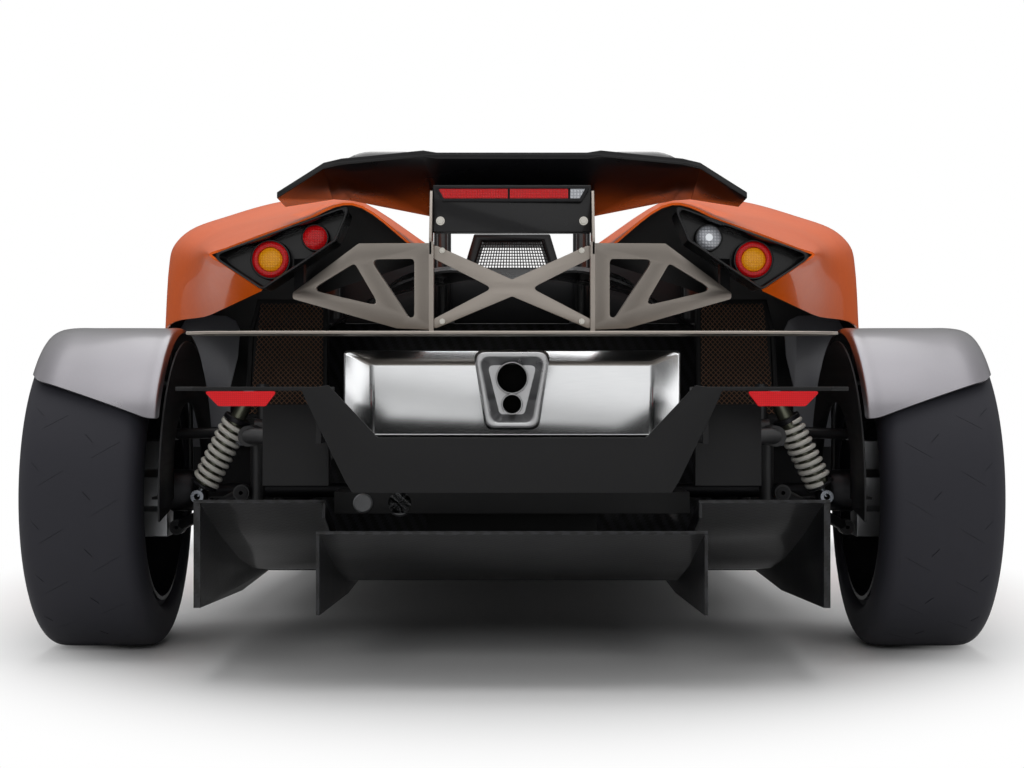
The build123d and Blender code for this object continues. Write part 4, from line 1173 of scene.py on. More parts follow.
@dataclass
class Wheel:
    """A slick road tyre on a forked-spoke rim with its brake disc, modelled for the right-hand side."""

    tag: str
    across: float
    axle_y: float
    radius: float
    rim_radius: float
    width: float
    sipes: int = 18

    def build(self) -> None:
        """Makes the wheel on both sides of the car."""
        for side in Side:
            self.tyre(side)
            self.rim(side)
            self.disc(side)

    def body(self, side: Side) -> str:
        """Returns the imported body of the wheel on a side."""
        return f"wheel_{self.tag[0]}{side.word[0]}"

    def centre(self) -> Point:
        """Returns the wheel's middle."""
        return self.across, self.axle_y, self.radius

    def tyre(self, side: Side) -> None:
        """Turns the tyre and cuts its fine sipes.

        Args:
            side: The side of the car.
        """
        half, rim, wall = self.width / 2, self.rim_radius, self.radius - self.rim_radius
        shoulder = [
            Vector((half - 15, rim + 11)), Vector((half - 3, rim + 0.2 * wall)), Vector((half, rim + 0.46 * wall)),
            Vector((half - 6, rim + 0.8 * wall)), Vector((half - 21, self.radius - 4)),
            Vector((half - 49, self.radius - 0.2)), Vector((0, self.radius)),
        ]
        outer = [(min(p.x, half), min(p.y, self.radius)) for p in flowing(shoulder, 4)]
        profile = [(half - 15, rim), *outer, *[(-x, r) for x, r in outer[-2::-1]], (15 - half, rim)]
        blank = Blank(TREAD_RUBBER).lathe(profile, self.centre(), (1, 0, 0), 120)
        cutter = Blank(TREAD_RUBBER)
        for step in range(self.sipes):
            for lean, start, end in ((0.5, -0.34, -0.12), (-0.9, -0.12, -0.06), (0.5, 0.1, 0.3), (-0.9, 0.3, 0.36)):
                base = 2 * math.pi * (step + (0.5 if start > 0 else 0)) / self.sipes
                ends = [(self.width * share, base + lean * (share - start) * 0.9) for share in (start, end)]
                rows = []
                for along, turn in ends:
                    for_turn = []
                    for wide, deep in ((-0.7, -1.5), (0.7, -1.5), (0.7, 4.0), (-0.7, 4.0)):
                        angle, r = turn + wide / self.radius, self.radius + deep
                        spot = (self.across + along + wide, self.axle_y + r * math.cos(angle),
                                self.radius + r * math.sin(angle))
                        for_turn.append(Vector(spot))
                    rows.append(for_turn)
                cutter.net(rows)
        if side is Side.LEFT:
            blank.flipped()
            cutter.flipped()
        name = f"tyre_{self.tag}_{side.word}"
        mesh = blank.mesh(f"{name}_slick")
        tool, holder = stand("sipe_cutter", cutter.mesh("sipe_cutter")), stand("tyre_blank", mesh)
        cut = holder.modifiers.new("sipes", "BOOLEAN")
        cut.operation, cut.solver, cut.object = "DIFFERENCE", "EXACT", tool
        grooved = applied(holder)
        for thing in (holder, tool):
            bpy.data.objects.remove(thing)
        hang(grooved, f"{name}_slick", (name,), self.body(side), sharp=30)

    def rim(self, side: Side) -> None:
        """Makes the rim's barrel, spokes and hub pad, and its bolts.

        Args:
            side: The side of the car.
        """
        bead = self.width / 2 - 14.7
        lip, inner = bead + 6, self.rim_radius - 9
        barrel = [
            (-lip, self.rim_radius - 0.3), (bead, self.rim_radius - 0.3), (bead, self.rim_radius + 7.5),
            (bead + 1.5, self.rim_radius + 9), (lip - 1.5, self.rim_radius + 9), (lip, self.rim_radius + 7.5),
            (lip, inner + 2), (lip - 10, inner), (10, inner - 1), (-lip, inner),
        ]
        blank = Blank(BLACK_LACQUER).lathe(barrel, self.centre(), (1, 0, 0), 96)
        rear, face = lip - 42, lip - 16
        for fork in range(5):
            for hand in (-1, 1):
                flat = [
                    self.polar(54, fork, -4 * hand), self.polar(54, fork, 14 * hand),
                    self.polar(inner + 4, fork, 15.5 * hand), self.polar(inner + 4, fork, 9.5 * hand),
                    self.polar(120, fork, 2 * hand),
                ]
                plane = placed(self.centre(), (0, 1, 0), (0, 0, 1))
                blank.prism(flat, plane, rear, face)
        pad = [(-11.7, 32), (-11.7, 61), (rear + 2, 61), (rear + 6, 66), (face - 3, 66), (face, 60), (face, 32)]
        blank.lathe(pad, self.centre(), (1, 0, 0), 48)
        cap = [(face - 14, 0), (face - 14, 29), (face - 3, 29), (face - 1, 25), (face - 1, 0)]
        blank.take(FORGED_ALUMINIUM).lathe(cap, self.centre(), (1, 0, 0), 36)
        if side is Side.LEFT:
            blank.flipped()
        name = f"rim_{self.tag}_{side.word}"
        blank.make(f"{name}_forked", (name,), self.body(side), bevel=2.0)
        spots = []
        for stud in range(5):
            y, z = self.polar(45, stud, 36)
            spots.append((side.value * (self.across + face - 1), self.axle_y + y, self.radius + z))
        name = f"studs_{self.tag}_{side.word}"
        HARDWARE.bolt_row(name, spots, (side.value, 0, 0), 9, self.body(side), BLACK_BOLT, "rim")

    @staticmethod
    def polar(radius: float, fork: int, degrees: float) -> Flat:
        """Returns a point on a circle about the axle, its angle counted from one of the five forks."""
        turn = math.radians(72 * fork + degrees)
        return radius * math.cos(turn), radius * math.sin(turn)

    def disc(self, side: Side) -> None:
        """Turns the vented brake disc, its bell and the spindle.

        Args:
            side: The side of the car.
        """
        vented = [
            (-44, 70), (-44, 151), (-43, 152), (-36, 152), (-35, 151), (-35, 120), (-27, 120), (-27, 151),
            (-26, 152), (-19, 152), (-18, 151), (-18, 70),
        ]
        blank = Blank(Finish(
            f"turned grey iron {self.tag} {side.word}", "#8A8B8E", "#6C6D71", Pattern.TURNED, metallic=1.0,
            roughness=0.3, grain=1.6, depth=0.02, axis=(0.0, self.axle_y * MM, self.radius * MM),
        ))
        blank.lathe(vented, self.centre(), (1, 0, 0), 72)
        bell = [(-43, 30), (-43, 71), (-19, 71), (-18, 66), (-14, 66), (-12, 63), (-12, 30)]
        blank.take(FORGED_ALUMINIUM).lathe(bell, self.centre(), (1, 0, 0), 48)
        spindle = [(-116, 0), (-116, 19), (-115, 20), (-61.7, 20), (-61.7, 33), (-40, 34), (-40, 0)]
        blank.take(GROUND_STEEL).lathe(spindle, self.centre(), (1, 0, 0), 40)
        if side is Side.LEFT:
            blank.flipped()
        name = f"disc_{self.tag}_{side.word}"
        blank.make(f"{name}_vented", (f"brake_{name}",), self.body(side), bevel=0.8)


@dataclass
class CycleWing:
    """A thin crowned band over a tyre, its rear edge slanted and its corners round, on two flat stays."""

    tag: str
    across: float
    axle_y: float
    axle_z: float
    radius: float
    x_low: float
    x_high: float
    rear_outer: float
    rear_inner: float
    front_angle: float
    corner: float = 34.0
    wall: float = 4.0
    liner_outer: float = 312.0
    liner_inner: float = 184.0

    def build(self) -> None:
        """Makes the wing on both sides."""
        if self.tag == "rear":
            self.shape().mirror().make("cycle_wings_rear", ("fenders_rear",), bevel=0.9)
            return
        self.shape().make("cycle_wing_front_right", ("fender_front_right",), "knuckle_fr", bevel=0.9)
        self.shape().flipped().make("cycle_wing_front_left", ("fender_front_left",), "knuckle_fl", bevel=0.9)

    def shape(self) -> Blank:
        """Returns the right-hand wing with its stays."""
        low, high, r = self.x_low, self.x_high, self.radius
        crown = flowing([
            Vector((high, r - 18)), Vector((high - 4, r - 10)), Vector((high - 14, r - 4.2)),
            Vector((high - 36, r - 0.4)), Vector((high - 90, r)), Vector((low + 40, r - 0.4)),
            Vector((low + 9, r - 1.5)), Vector((low, r - 9)),
        ], 5)
        rows = []
        spans = 44
        for step in range(spans + 1):
            row = []
            for spot in crown:
                share = (spot.x - low) / (high - low)
                first = self.rear_inner + (self.rear_outer - self.rear_inner) * share
                first += self.round_in(high - spot.x) + self.round_in(spot.x - low) * 0.5
                last = self.front_angle - self.round_in(high - spot.x) - self.round_in(spot.x - low)
                turn = math.radians(first + (last - first) * step / spans)
                row.append(Vector((
                    spot.x, self.axle_y - spot.y * math.cos(turn), self.axle_z + spot.y * math.sin(turn)
                )))
            rows.append(row)
        blank = Blank(SILVER_LACQUER).sheet(rows, self.side(rows) * self.wall, WING_UNDERSIDE)
        blank.take(POWDER_COAT)
        seat_x, stay_x, foot = self.across - 107, low + 7, self.axle_z - 12
        for along in (-110, 110):
            top = self.axle_z + math.sqrt((r - 7) ** 2 - along ** 2)
            y, reach = self.axle_y + along, self.axle_y + math.copysign(58.3, along)
            blank.block((stay_x, y - 11, foot), (stay_x + 5, y + 11, top))
            blank.block((stay_x + 4, y - 11, foot), (seat_x, y + 11, foot + 5))
            blank.block((seat_x - 22, min(y, reach), foot), (seat_x, max(y, reach), foot + 5))
        if self.tag == "rear":
            self.liner(blank)
        return blank

    def liner(self, blank: Blank) -> None:
        """Adds the black half-ring plate that closes the rear wing's inner side."""
        arc = [math.radians(-8 + 196 * step / 40) for step in range(41)]
        ring = [(self.liner_outer * math.cos(a), self.liner_outer * math.sin(a)) for a in arc]
        ring += [(self.liner_inner * math.cos(a), self.liner_inner * math.sin(a)) for a in arc[::-1]]
        outline = [(self.axle_y + y, self.axle_z + z) for y, z in ring]
        blank.take(GRAINED_PLASTIC).plate([outline], facing_side(0), self.x_low - 5, self.x_low - 1, 0.7)

    def round_in(self, gap: float) -> float:
        """Returns how many degrees the edge draws in at a distance from the wing's side, which rounds its corner."""
        if gap >= self.corner:
            return 0.0
        drawn = self.corner - math.sqrt(max(self.corner ** 2 - (self.corner - max(gap, 0)) ** 2, 0))
        return math.degrees(drawn / self.radius)

    def side(self, rows: Rows) -> int:
        """Returns the sign that puts the wall inside the band."""
        middle = len(rows) // 2
        along = rows[middle + 1][20] - rows[middle - 1][20]
        across = rows[middle][21] - rows[middle][19]
        return -1 if along.cross(across).z > 0 else 1


@dataclass
class Bodywork:
    """Lacquered panels: the two orange sides, the engine cover, the nose and the bonnet."""

    wall: float = 4.5
    sill_lift: float = 0.9

    def build(self) -> None:
        """Makes every panel."""
        self.side_panels()
        self.engine_cover()
        self.nose()
        self.bonnet()

    def stations(self) -> dict[float, list[Flat]]:
        """Returns the side panel's outlines by station, from its inner edge out and down."""
        made = {
            FA - 581: [
                (545, 560), (538, 597), (570, 596.5), (600, 595), (640, 586), (662, 556), (672, 520), (655, 340),
            ],
            RA + 1249: [(547, 520), (558, 605), (582, 613), (620, 608), (668, 596), (702, 562), (718, 516), (700, 300)],
            RA + 799: [(519, 745), (520, 800), (600, 798), (660, 782), (710, 757), (752, 722), (768, 680), (748, 400)],
            RA + 372: [(186, 838), (390, 966), (540, 955), (654, 922), (744, 888), (779, 853), (790, 804), (799, 658)],
            RA: [(180, 830), (346, 924), (450, 905), (560, 881), (625, 857), (662, 826), (664, 778), (632, 690)],
            RA - 372: [
                (176, 800), (302, 887.5), (400, 854), (480, 826), (540, 803), (572.5, 790), (541, 767), (474, 720.5),
            ],
        }
        order = sorted(made, reverse=True)
        for y, top in ((FA - 781, 540), (RA + 1249, 520), (RA + 929, 640), (RA + 864, 700)):
            front = min(s for s in order if s >= y)
            back = max(s for s in order if s <= y)
            share = (front - y) / (front - back) if front > back else 0
            points = [
                (a[0] + share * (b[0] - a[0]), a[1] + share * (b[1] - a[1])) for a, b in zip(made[front], made[back])
            ]
            made[y] = [(points[0][0], top + self.sill_lift)] + points[1:]
        return made

    def side_panels(self) -> None:
        """Runs one smooth skin from the cockpit sill over the rear deck to the tail lamps, on each side."""
        made = self.stations()
        rows = []
        for y in sorted(made, reverse=True):
            rows.append([Vector((x, y, z)) for x, z in made[y]])
        fine = smooth_rows(rows, 6, 8)
        for row in fine:
            for spot in row:
                spot.y = min(max(spot.y, RA - 371.9), FA - 581)
        for side in Side:
            blank = Blank(ORANGE_LACQUER).sheet(fine, -self.outward(fine) * self.wall, PANEL_UNDERSIDE)
            if side is Side.LEFT:
                blank.flipped()
            blank.make(f"side_panel_{side.word}_skin", (f"side_panel_{side.word}",), sharp=60)

    @staticmethod
    def outward(rows: Rows) -> int:
        """Returns 1 where the rows' own normals point up and out, and -1 where they point in."""
        r, c = len(rows) // 2, len(rows[0]) // 3
        normal = (rows[r + 1][c] - rows[r - 1][c]).cross(rows[r][c + 1] - rows[r][c - 1])
        return 1 if normal.z + normal.x > 0 else -1

    def engine_cover(self) -> None:
        """Lays the black cover with its two humps below the deck."""
        halves = {
            RA + 818.7: [(470, 690), (300, 775), (165, 805), (116, 813.7), (60, 813.7), (0, 813.7)],
            RA + 600: [(395, 716), (268, 786), (165, 807), (116, 813.7), (60, 813.7), (0, 813.7)],
            RA + 372: [(330, 740), (240, 795), (165, 808), (116, 813.7), (60, 810), (0, 810)],
            RA: [(300, 715), (235, 768), (150, 790), (75, 786), (30, 771), (0, 768)],
            RA - 250: [(290, 696), (230, 740), (120, 768), (60, 754), (24, 737), (0, 733)],
        }
        rows = []
        for y, half in halves.items():
            rows.append([Vector((x, y, z)) for x, z in half + [(-x, z) for x, z in half[-2::-1]]])
        fine = smooth_rows(rows, 5, 8)
        for row in fine:
            for spot in row:
                spot.z = min(spot.z, 813.7)
                spot.y = min(spot.y, RA + 818.7)
        blank = Blank(BLACK_LACQUER).sheet(fine, -self.outward(fine) * self.wall)
        blank.make("engine_cover_skin", ("engine_cover",), sharp=60)

    def nose(self) -> None:
        """Lofts the nose cone, hollow and open to the tub behind it."""
        stations = [(FA + 289.3, 215, 436), (FA + 519, 165, 370), (FA + 688, 70, 250)]

        def outline(half: float, top: float, inset: float) -> list[Flat]:
            """Returns the cone's section with round shoulders."""
            w, low, high = half - inset, 116.3 + inset, top - inset
            corners = [(w, low), (w, high - 40), (w - 40, high), (40 - w, high), (-w, high - 40), (-w, low)]
            return rounded(corners, 26)

        rows = []
        for inset, order in ((5.0, stations[::-1]), (0.0, stations)):
            line = [[Vector((x, y, z)) for x, z in outline(half, top, inset)] for y, half, top in order]
            if inset:
                line[0] = [Vector((p.x, p.y - inset, p.z)) for p in line[0]]
            columns = [flowing([row[i] for row in line], 6) for i in range(len(line[0]))]
            rows += [[column[i] for column in columns] for i in range(len(columns[0]))]
        for row in rows:
            for spot in row:
                spot.z, spot.y = max(spot.z, 116.3), min(spot.y, FA + 688)
        Blank(ORANGE_LACQUER).net(rows).make("nose_cone", ("nose",), bevel=3.0)

    def bonnet(self) -> None:
        """Lays the bonnet skin over the tub."""
        rows = []
        for y, half, top in ((FA + 289, 210, 430), (FA - 81, 270, 520), (FA - 416, 339, 598.8)):
            w, high = half + 5.5, top + 5.3
            line = rounded([(w, high - 34), (w, high), (-w, high), (-w, high - 34)], 22, 6, closed=False)
            rows.append([Vector((x, y, z)) for x, z in line])
        blank = Blank(ORANGE_LACQUER).sheet(rows, -self.outward(rows) * 4.5)
        blank.make("bonnet_skin", ("bonnet",), sharp=50)


@dataclass
class LampPods:
    """Dark lamp housings with a thin flange, and two round lamps in each."""

    outline: tuple[Flat, ...] = ((302, 886), (332, 815), (471, 722), (570, 788))
    face_y: float = RA - 380
    recess: float = 70.0
    big: Flat = (460, 782)
    small: Flat = (375, 824)

    def build(self) -> None:
        """Makes the housings, the lamps and the lens rings."""
        self.housings()
        for side in Side:
            self.lamps(side)

    def inset(self, amount: float, corner: float) -> list[Flat]:
        """Returns the housing's outline set in by an amount, its corners rounded.

        Args:
            amount: How far each side moves in.
            corner: The corners' radius.

        Returns:
            The outline.
        """
        corners = [Vector(spot) for spot in self.outline]
        moved = []
        for i, here in enumerate(corners):
            into = (here - corners[i - 1]).normalized()
            out = (corners[(i + 1) % len(corners)] - here).normalized()
            left = Vector((-into.y, into.x))
            turn = into.angle_signed(out)
            reach = amount / math.cos(turn / 2)
            aim = Matrix.Rotation(-turn / 2, 2) @ left
            moved.append((here.x + aim.x * reach, here.y + aim.y * reach))
        return rounded(moved, corner, 6)

    def housings(self) -> None:
        """Makes the box, its flange and the board that carries the lamps."""
        blank = Blank(BLACK_LACQUER)
        levels = [
            (-120, 1.5, 12), (-7.7, 1.5, 12), (-7.7, 0, 12), (-1.2, 0, 12), (0, 1.2, 12), (0, 3.6, 10),
            (-1.5, 4.4, 10), (-self.recess, 6, 10),
        ]
        rows = []
        for depth, amount, corner in levels:
            plane = facing_rear(self.face_y)
            rows.append([plane @ Vector((u, v, depth)) for u, v in self.inset(amount, corner)])
        blank.net(rows)
        sweep = math.radians(27.4)
        truss = placed((145, RA - 470, 0), (math.cos(sweep), math.sin(sweep), 0), (0, 0, 1))
        blank.prism([(288, 708), (310, 708), (310, 785), (288, 785)], truss, -13.3, -5.3)
        blank.mirror().make("lamp_housings", ("lamp_pods",), sharp=40)

    def lamps(self, side: Side) -> None:
        """Makes both lamps of one side: the outer one red around amber, the inner one red or clear.

        Args:
            side: The side of the car.
        """
        seat = self.face_y + self.recess - 0.3
        blank = Blank(BLACK_LACQUER)
        (x, z), r = self.big, 38.5
        origin = (side.value * x, seat, z)
        body = [(0, 0), (0, r), (34, r), (36, r - 1.5), (36, r - 3), (30, r - 3.5), (30, 0)]
        blank.lathe(body, origin, (0, -1, 0), 64)
        ring = [(29, r - 4), (38, r - 4), (41, r - 7), (42, r - 10), (41, r - 14), (38, r - 15.5), (29, r - 15.5)]
        blank.take(RED_LENS).lathe(ring, origin, (0, -1, 0), 64)
        eye = [(29, 0), (29, r - 16), (36, r - 16), (39.5, r - 20), (41.2, r - 28), (41.6, 0)]
        blank.take(AMBER_LENS).lathe(eye, origin, (0, -1, 0), 64)
        (x, z), r = self.small, 26.5
        origin = (side.value * x, seat, z)
        body = [(0, 0), (0, r), (33, r), (35, r - 1.5), (35, r - 2.5), (30, r - 3), (30, 0)]
        blank.take(BLACK_LACQUER).lathe(body, origin, (0, -1, 0), 56)
        eye = [(29, 0), (29, r - 3.5), (36, r - 3.5), (39, r - 7), (41, r - 14), (41.8, 0)]
        blank.take(RED_LENS if side is Side.LEFT else CLEAR_LENS)
        blank.lathe(eye, origin, (0, -1, 0), 56)
        if side is Side.RIGHT:
            bulb = [(41, 0), (41, 7), (42, 7), (42, 0)]
            blank.take(MIRROR_GLASS).lathe(bulb, origin, (0, -1, 0), 32)
        blank.make(f"tail_lamps_{side.word}", ("rear_lenses",), slot="lamp_lens")


@dataclass
class TailLights:
    """The long brake lamp in the wing's box and the reflectors below the skirt's blades."""

    lamp_y: float = RA - 430.3
    skirt_y: float = RA - 620

    def build(self) -> None:
        """Makes the brake lamp's frame and ribbed lens, and both reflectors."""
        plane = facing_rear(self.lamp_y)
        frame_outline = rounded([(-145, 911), (-129, 883), (129, 883), (145, 911)], 4, 3)
        window = rounded([(-137, 907.5), (-126, 888.5), (126, 888.5), (137, 907.5)], 2.5, 3)
        blank = Blank(GRAINED_PLASTIC).plate([frame_outline, window], plane, 0, 9.8, 0.8)
        blank.prism(rounded([(-140, 909), (-128, 886), (128, 886), (140, 909)], 2, 3), plane, 0.2, 3)
        for low, high in ((-137, -8), (-4, 104)):
            slant = 10 if low < -100 else 0
            lens = [(low + slant, 889), (high, 889), (high, 907), (low, 907)]
            blank.take(RED_LENS).prism(lens, plane, 2.8, 7.2)
            ribs = int((high - low - slant) / 6)
            for rib in range(ribs):
                x = low + slant + 3 + rib * 6
                blank.prism([(x, 890), (x + 3, 890), (x + 3, 906), (x, 906)], plane, 7.0, 7.9)
        end = [(108, 889), (125.5, 889), (136, 907), (108, 907)]
        blank.take(CLEAR_LENS).prism(end, plane, 2.8, 7.0)
        blank.make("brake_lamp", bevel=0.3, slot="lamp_lens")
        plane = facing_rear(self.skirt_y)
        blank = Blank(REFLECTOR_RED)
        outline = rounded([(541, 532.5), (412, 532.5), (432, 506), (515, 506)], 4, 4)
        blank.plate([outline], plane, -7.9, 0, 1.0)
        blank.mirror().make("rear_reflectors", slot="lamp_lens")


@dataclass
class TailFrame:
    """Blasted aluminium frame that carries the wing: a cross brace, two posts, two arms and two swept trusses."""

    half: float = 145.0
    foot: float = 640.3
    wall: float = 5.0
    back_y: float = RA - 470

    def build(self) -> None:
        """Makes the frame, the blade that it stands on and their bolts."""
        blank = Blank(BLASTED_ALUMINIUM)
        half, plane = self.half, facing_rear(self.back_y)
        brace = [
            (half, 802), (0, 737), (-half, 802), (-half, 776), (-36, 721), (-half, 664), (-half, 645), (0, 706),
            (half, 645), (half, 664), (36, 721), (half, 776),
        ]
        blank.plate([rounded(brace, 7, 5)], plane, -self.wall, 0, 0.7)
        for sign in (1, -1):
            low, high = sorted((sign * (half - 1), sign * 152.3))
            blank.block((low, self.back_y - 5, self.foot), (high, self.back_y + 8, 806))
            low, high = sorted((sign * 147.3, sign * 152.3))
            arm = rounded([
                (self.back_y - 5, 770), (self.back_y + 75, 812), (self.back_y + 75, 905),
                (self.back_y + 36, 905), (self.back_y - 5, 812),
            ], 8, 4)
            blank.plate([arm], facing_side(0), low, high, 0.6)
        sweep = math.radians(27.4)
        right = placed((half, self.back_y, 0), (math.cos(sweep), math.sin(sweep), 0), (0, 0, 1))
        outer = rounded([(0, 644.3), (78, 648.3), (310, 708), (310, 720), (161, 809), (0, 804)], 6, 5)
        small = rounded([(269, 724), (170, 772), (115, 690.5)], 9, 5)
        large = rounded([(135, 778), (40, 776), (40, 669), (52, 667)], 9, 5)
        truss = Blank(BLASTED_ALUMINIUM).plate([outer, small, large], right, -self.wall, 0, 0.7).mirror()
        start = len(blank.points)
        blank.points += truss.points
        blank.faces += [[start + i for i in face] for face in truss.faces]
        blank.slots += truss.slots
        blank.make("tail_frame_plates", ("tail_frame",), sharp=30)
        refined("tail_blade", BLASTED_ALUMINIUM, 1.6)
        seats = [(sign * x, self.back_y - 0.2, z) for sign in (-1, 1) for x, z in ((128, 790), (128, 660))]
        HARDWARE.bolt_row("brace_bolts", seats, (0, -1, 0), 6)
        seats = [(sign * 133, RA - 430, 848) for sign in (-1, 1)]
        HARDWARE.bolt_row("wing_bolts", seats, (0, -1, 0), 9)


@dataclass
class Exhaust:
    """Brushed stainless box silencer and a flared tip around two pipes, one above the other."""

    tip_y: float = RA - 560
    back_y: float = RA - 450.3

    def build(self) -> None:
        """Makes the silencer, the tip and the pipes."""
        refined("muffler", BRUSHED_STAINLESS, 7)
        blank = Blank(SATIN_STAINLESS)
        shape = [(-48, 463), (48, 463), (70, 606), (-70, 606)]
        middle = Vector((0, 534))

        def ring(y: float, inset: float, corner: float) -> Line:
            """Returns the tip's outline at a station, drawn in by an inset."""
            drawn = []
            for spot in shape:
                out = Vector(spot) - middle
                drawn.append(tuple(middle + Vector((
                    math.copysign(abs(out.x) - inset, out.x), math.copysign(abs(out.y) - inset * 1.05, out.y)
                ))))
            return [Vector((u, y, v)) for u, v in rounded(drawn, corner, 6)]

        t = self.tip_y
        rows = [ring(self.back_y, 0, 18)] + [ring(t + ahead, inset, corner) for ahead, inset, corner in (
            (14, 0, 18), (9, 2.5, 18), (3.5, 3, 18), (1, 4, 18), (0, 6, 17), (0, 10, 16), (1.5, 12, 15), (9, 15, 13),
            (30, 26, 9),
        )]
        blank.net(rows)
        for height, radius in ((556, 28), (509, 18)):
            pipe = [
                (0, radius - 2), (0, radius + 1.2), (26, radius + 1.2), (27.5, radius), (27.5, radius - 1),
                (26, radius - 2),
            ]
            blank.take(SATIN_STAINLESS).lathe(pipe, (0, t + 34, height), (0, -1, 0), 56)
            bore = [(5, 0), (5, radius - 1.5), (25, radius - 1.6), (25, radius - 2.1), (6, radius - 2.5), (6, 0)]
            blank.take(SOOT).lathe(bore, (0, t + 34, height), (0, -1, 0), 48)
        blank.make("exhaust_tip_flared", ("exhaust_tip",), sharp=42)


@dataclass
class RearCorner:
    """Rear springs and dampers, drive shafts with bellows, and the round tubes of frame and wishbones."""

    rail_x: float = 505.0
    coil: float = 24.5
    wire: float = 5.0
    turns: float = 9.0

    def build(self) -> None:
        """Makes every tube and unit of the suspension."""
        self.coilovers()
        self.driveshafts()
        self.subframe()
        self.wishbones()
        self.rack()

    def coilovers(self) -> None:
        """Makes each damper with its eyes, spring plates and coil spring."""
        foot, head = Vector((640, RA - 103, 316)), Vector((532, RA - 120, 523))
        lean = (head - foot).normalized()
        reach = (head - foot).length
        blank = Blank(GROUND_STEEL)
        for eye in (foot, head):
            blank.lathe([(-15, 6), (-15, 13.5), (15, 13.5), (15, 6)], eye, (0, 1, 0), 32)
        blank.lathe([(0, 0), (0, 7), (reach, 7), (reach, 0)], foot, lean, 24)
        body = [(20, 0), (20, 15), (24, 19), (reach - 62, 19), (reach - 58, 15), (reach - 58, 0)]
        blank.take(DAMPER_TOP).lathe(body, foot, lean, 32)
        for low, high in ((24, 30), (reach - 62, reach - 52)):
            plate = [(low, 12), (low, 27), (low + 1, 28), (high - 1, 28), (high, 27), (high, 12)]
            blank.take(BLACK_BOLT).lathe(plate, foot, lean, 32)
        can = [(reach - 52, 8), (reach - 52, 16), (reach - 18, 14), (reach - 14, 8)]
        blank.take(DAMPER_TOP).lathe(can, foot, lean, 32)
        blank.mirror().make("dampers", ("coilovers",), bevel=0.6)
        for side in Side:
            low, high = foot + lean * 32, foot + lean * (reach - 64)
            low.x, high.x = side.value * low.x, side.value * high.x
            HARDWARE.spring(f"spring_{side.word}", low, high, self.coil, self.wire, self.turns)

    def driveshafts(self) -> None:
        """Turns the shafts, the inner cups and the pleated bellows."""
        blank = Blank(GROUND_STEEL)
        near, far = 170.3, 715.7
        bellows = [(near + 48, 40)]
        for pleat in range(5):
            along = near + 52 + 8 * pleat
            bellows += [(along, 42 - 5 * pleat), (along + 4, 33 - 5 * pleat)]
        shaft = [(near, 0), (near, 46), (near + 3, 48), (near + 44, 48), (near + 47, 44), *bellows, (near + 96, 15)]
        shaft += [(far - 86, 15)]
        for pleat in range(5):
            along = far - 80 + 6 * pleat
            shaft += [(along, 18 + 4 * pleat), (along + 3, 24 + 4 * pleat)]
        shaft += [(far - 46, 43), (far - 4, 44), (far, 40), (far, 0)]
        blank.take(BLACK_BOLT).lathe(shaft, (0, RA, 322.5), (1, 0, 0), 48)
        blank.mirror().make("drive_shafts", ("driveshafts",), sharp=30)

    def subframe(self) -> None:
        """Makes the rear frame of round tubes."""
        blank, x = Blank(POWDER_COAT), self.rail_x
        front, upper, lower = RA + 818.7, 445, 274
        blank.tube([(x, front, upper), (x, RA - 330, upper)], 20, 28)
        blank.tube([(x, front, lower), (x, RA - 216, lower)], 16, 24)
        for along in (-200, 150, 400):
            blank.tube([(x, RA + along, lower), (x, RA + along, upper)], 14, 24)
        blank.tube([(x, RA - 120, upper), (x, RA - 120, 545)], 12.7, 24)
        elbow = flowing([Vector((x, RA - 320, upper)), Vector((x - 42, RA - 360, upper)),
                         Vector((420, RA - 400, upper)), Vector((420, RA - 449.7, upper))], 5)
        elbow[-1].y = RA - 449.7
        blank.tube(elbow, 16, 24)
        blank.tube([(-1, RA - 232.7, upper + 14), (x, RA - 232.7, upper + 14)], 17, 24)
        blank.mirror().make("rear_frame_tubes", ("rear_subframe",), sharp=50)

    def wishbones(self) -> None:
        """Makes the wishbones' legs, bushes and ball joints."""
        blank = Blank(POWDER_COAT)
        kingpin, top, low = 730, 403, 228
        for puck, leg in ((top + 0.3, top + 12), (low - 24.3, low - 12)):
            blank.take(FORGED_ALUMINIUM).lathe(
                [(0, 0), (0, 16), (2, 18), (22, 18), (24, 16), (24, 0)], (kingpin, FA, puck), (0, 0, 1), 32
            )
            for along in (-120, 120):
                self.leg(blank, (kingpin, FA, leg), (305, FA + along, leg))
        blank.take(FORGED_ALUMINIUM).lathe(
            [(-11.7, 0), (-11.7, 16), (-10, 18), (10, 18), (12, 16), (12, 0)], (716, RA, 439.5), (0, 0, 1), 32
        )
        knuckle = (699.7, RA, 246)
        self.bush(blank, knuckle)
        for outer, tube, height, legs in (((716, RA, 439.5), 20, 445, (-40, 150)), (knuckle, 14, 330, (-200, 150))):
            for along in legs:
                self.leg(blank, outer, (self.rail_x + tube + 16.3, RA + along, height))
        blank.mirror().make("wishbone_tubes", ("wishbones",), sharp=45)

    def leg(self, blank: Blank, outer: Point, inner: Point) -> None:
        """Adds one leg and the bush at its inner end."""
        blank.take(POWDER_COAT).tube([outer, inner], 11, 20)
        self.bush(blank, inner)

    @staticmethod
    def bush(blank: Blank, place: Point) -> None:
        """Adds a bush with a rubber face at each end and a steel sleeve."""
        blank.take(POWDER_COAT).lathe([(-18, 8), (-18, 16), (18, 16), (18, 8)], place, (0, 1, 0), 28)
        blank.take(GRAINED_PLASTIC).lathe([(-22, 4), (-22, 13), (22, 13), (22, 4)], place, (0, 1, 0), 28)

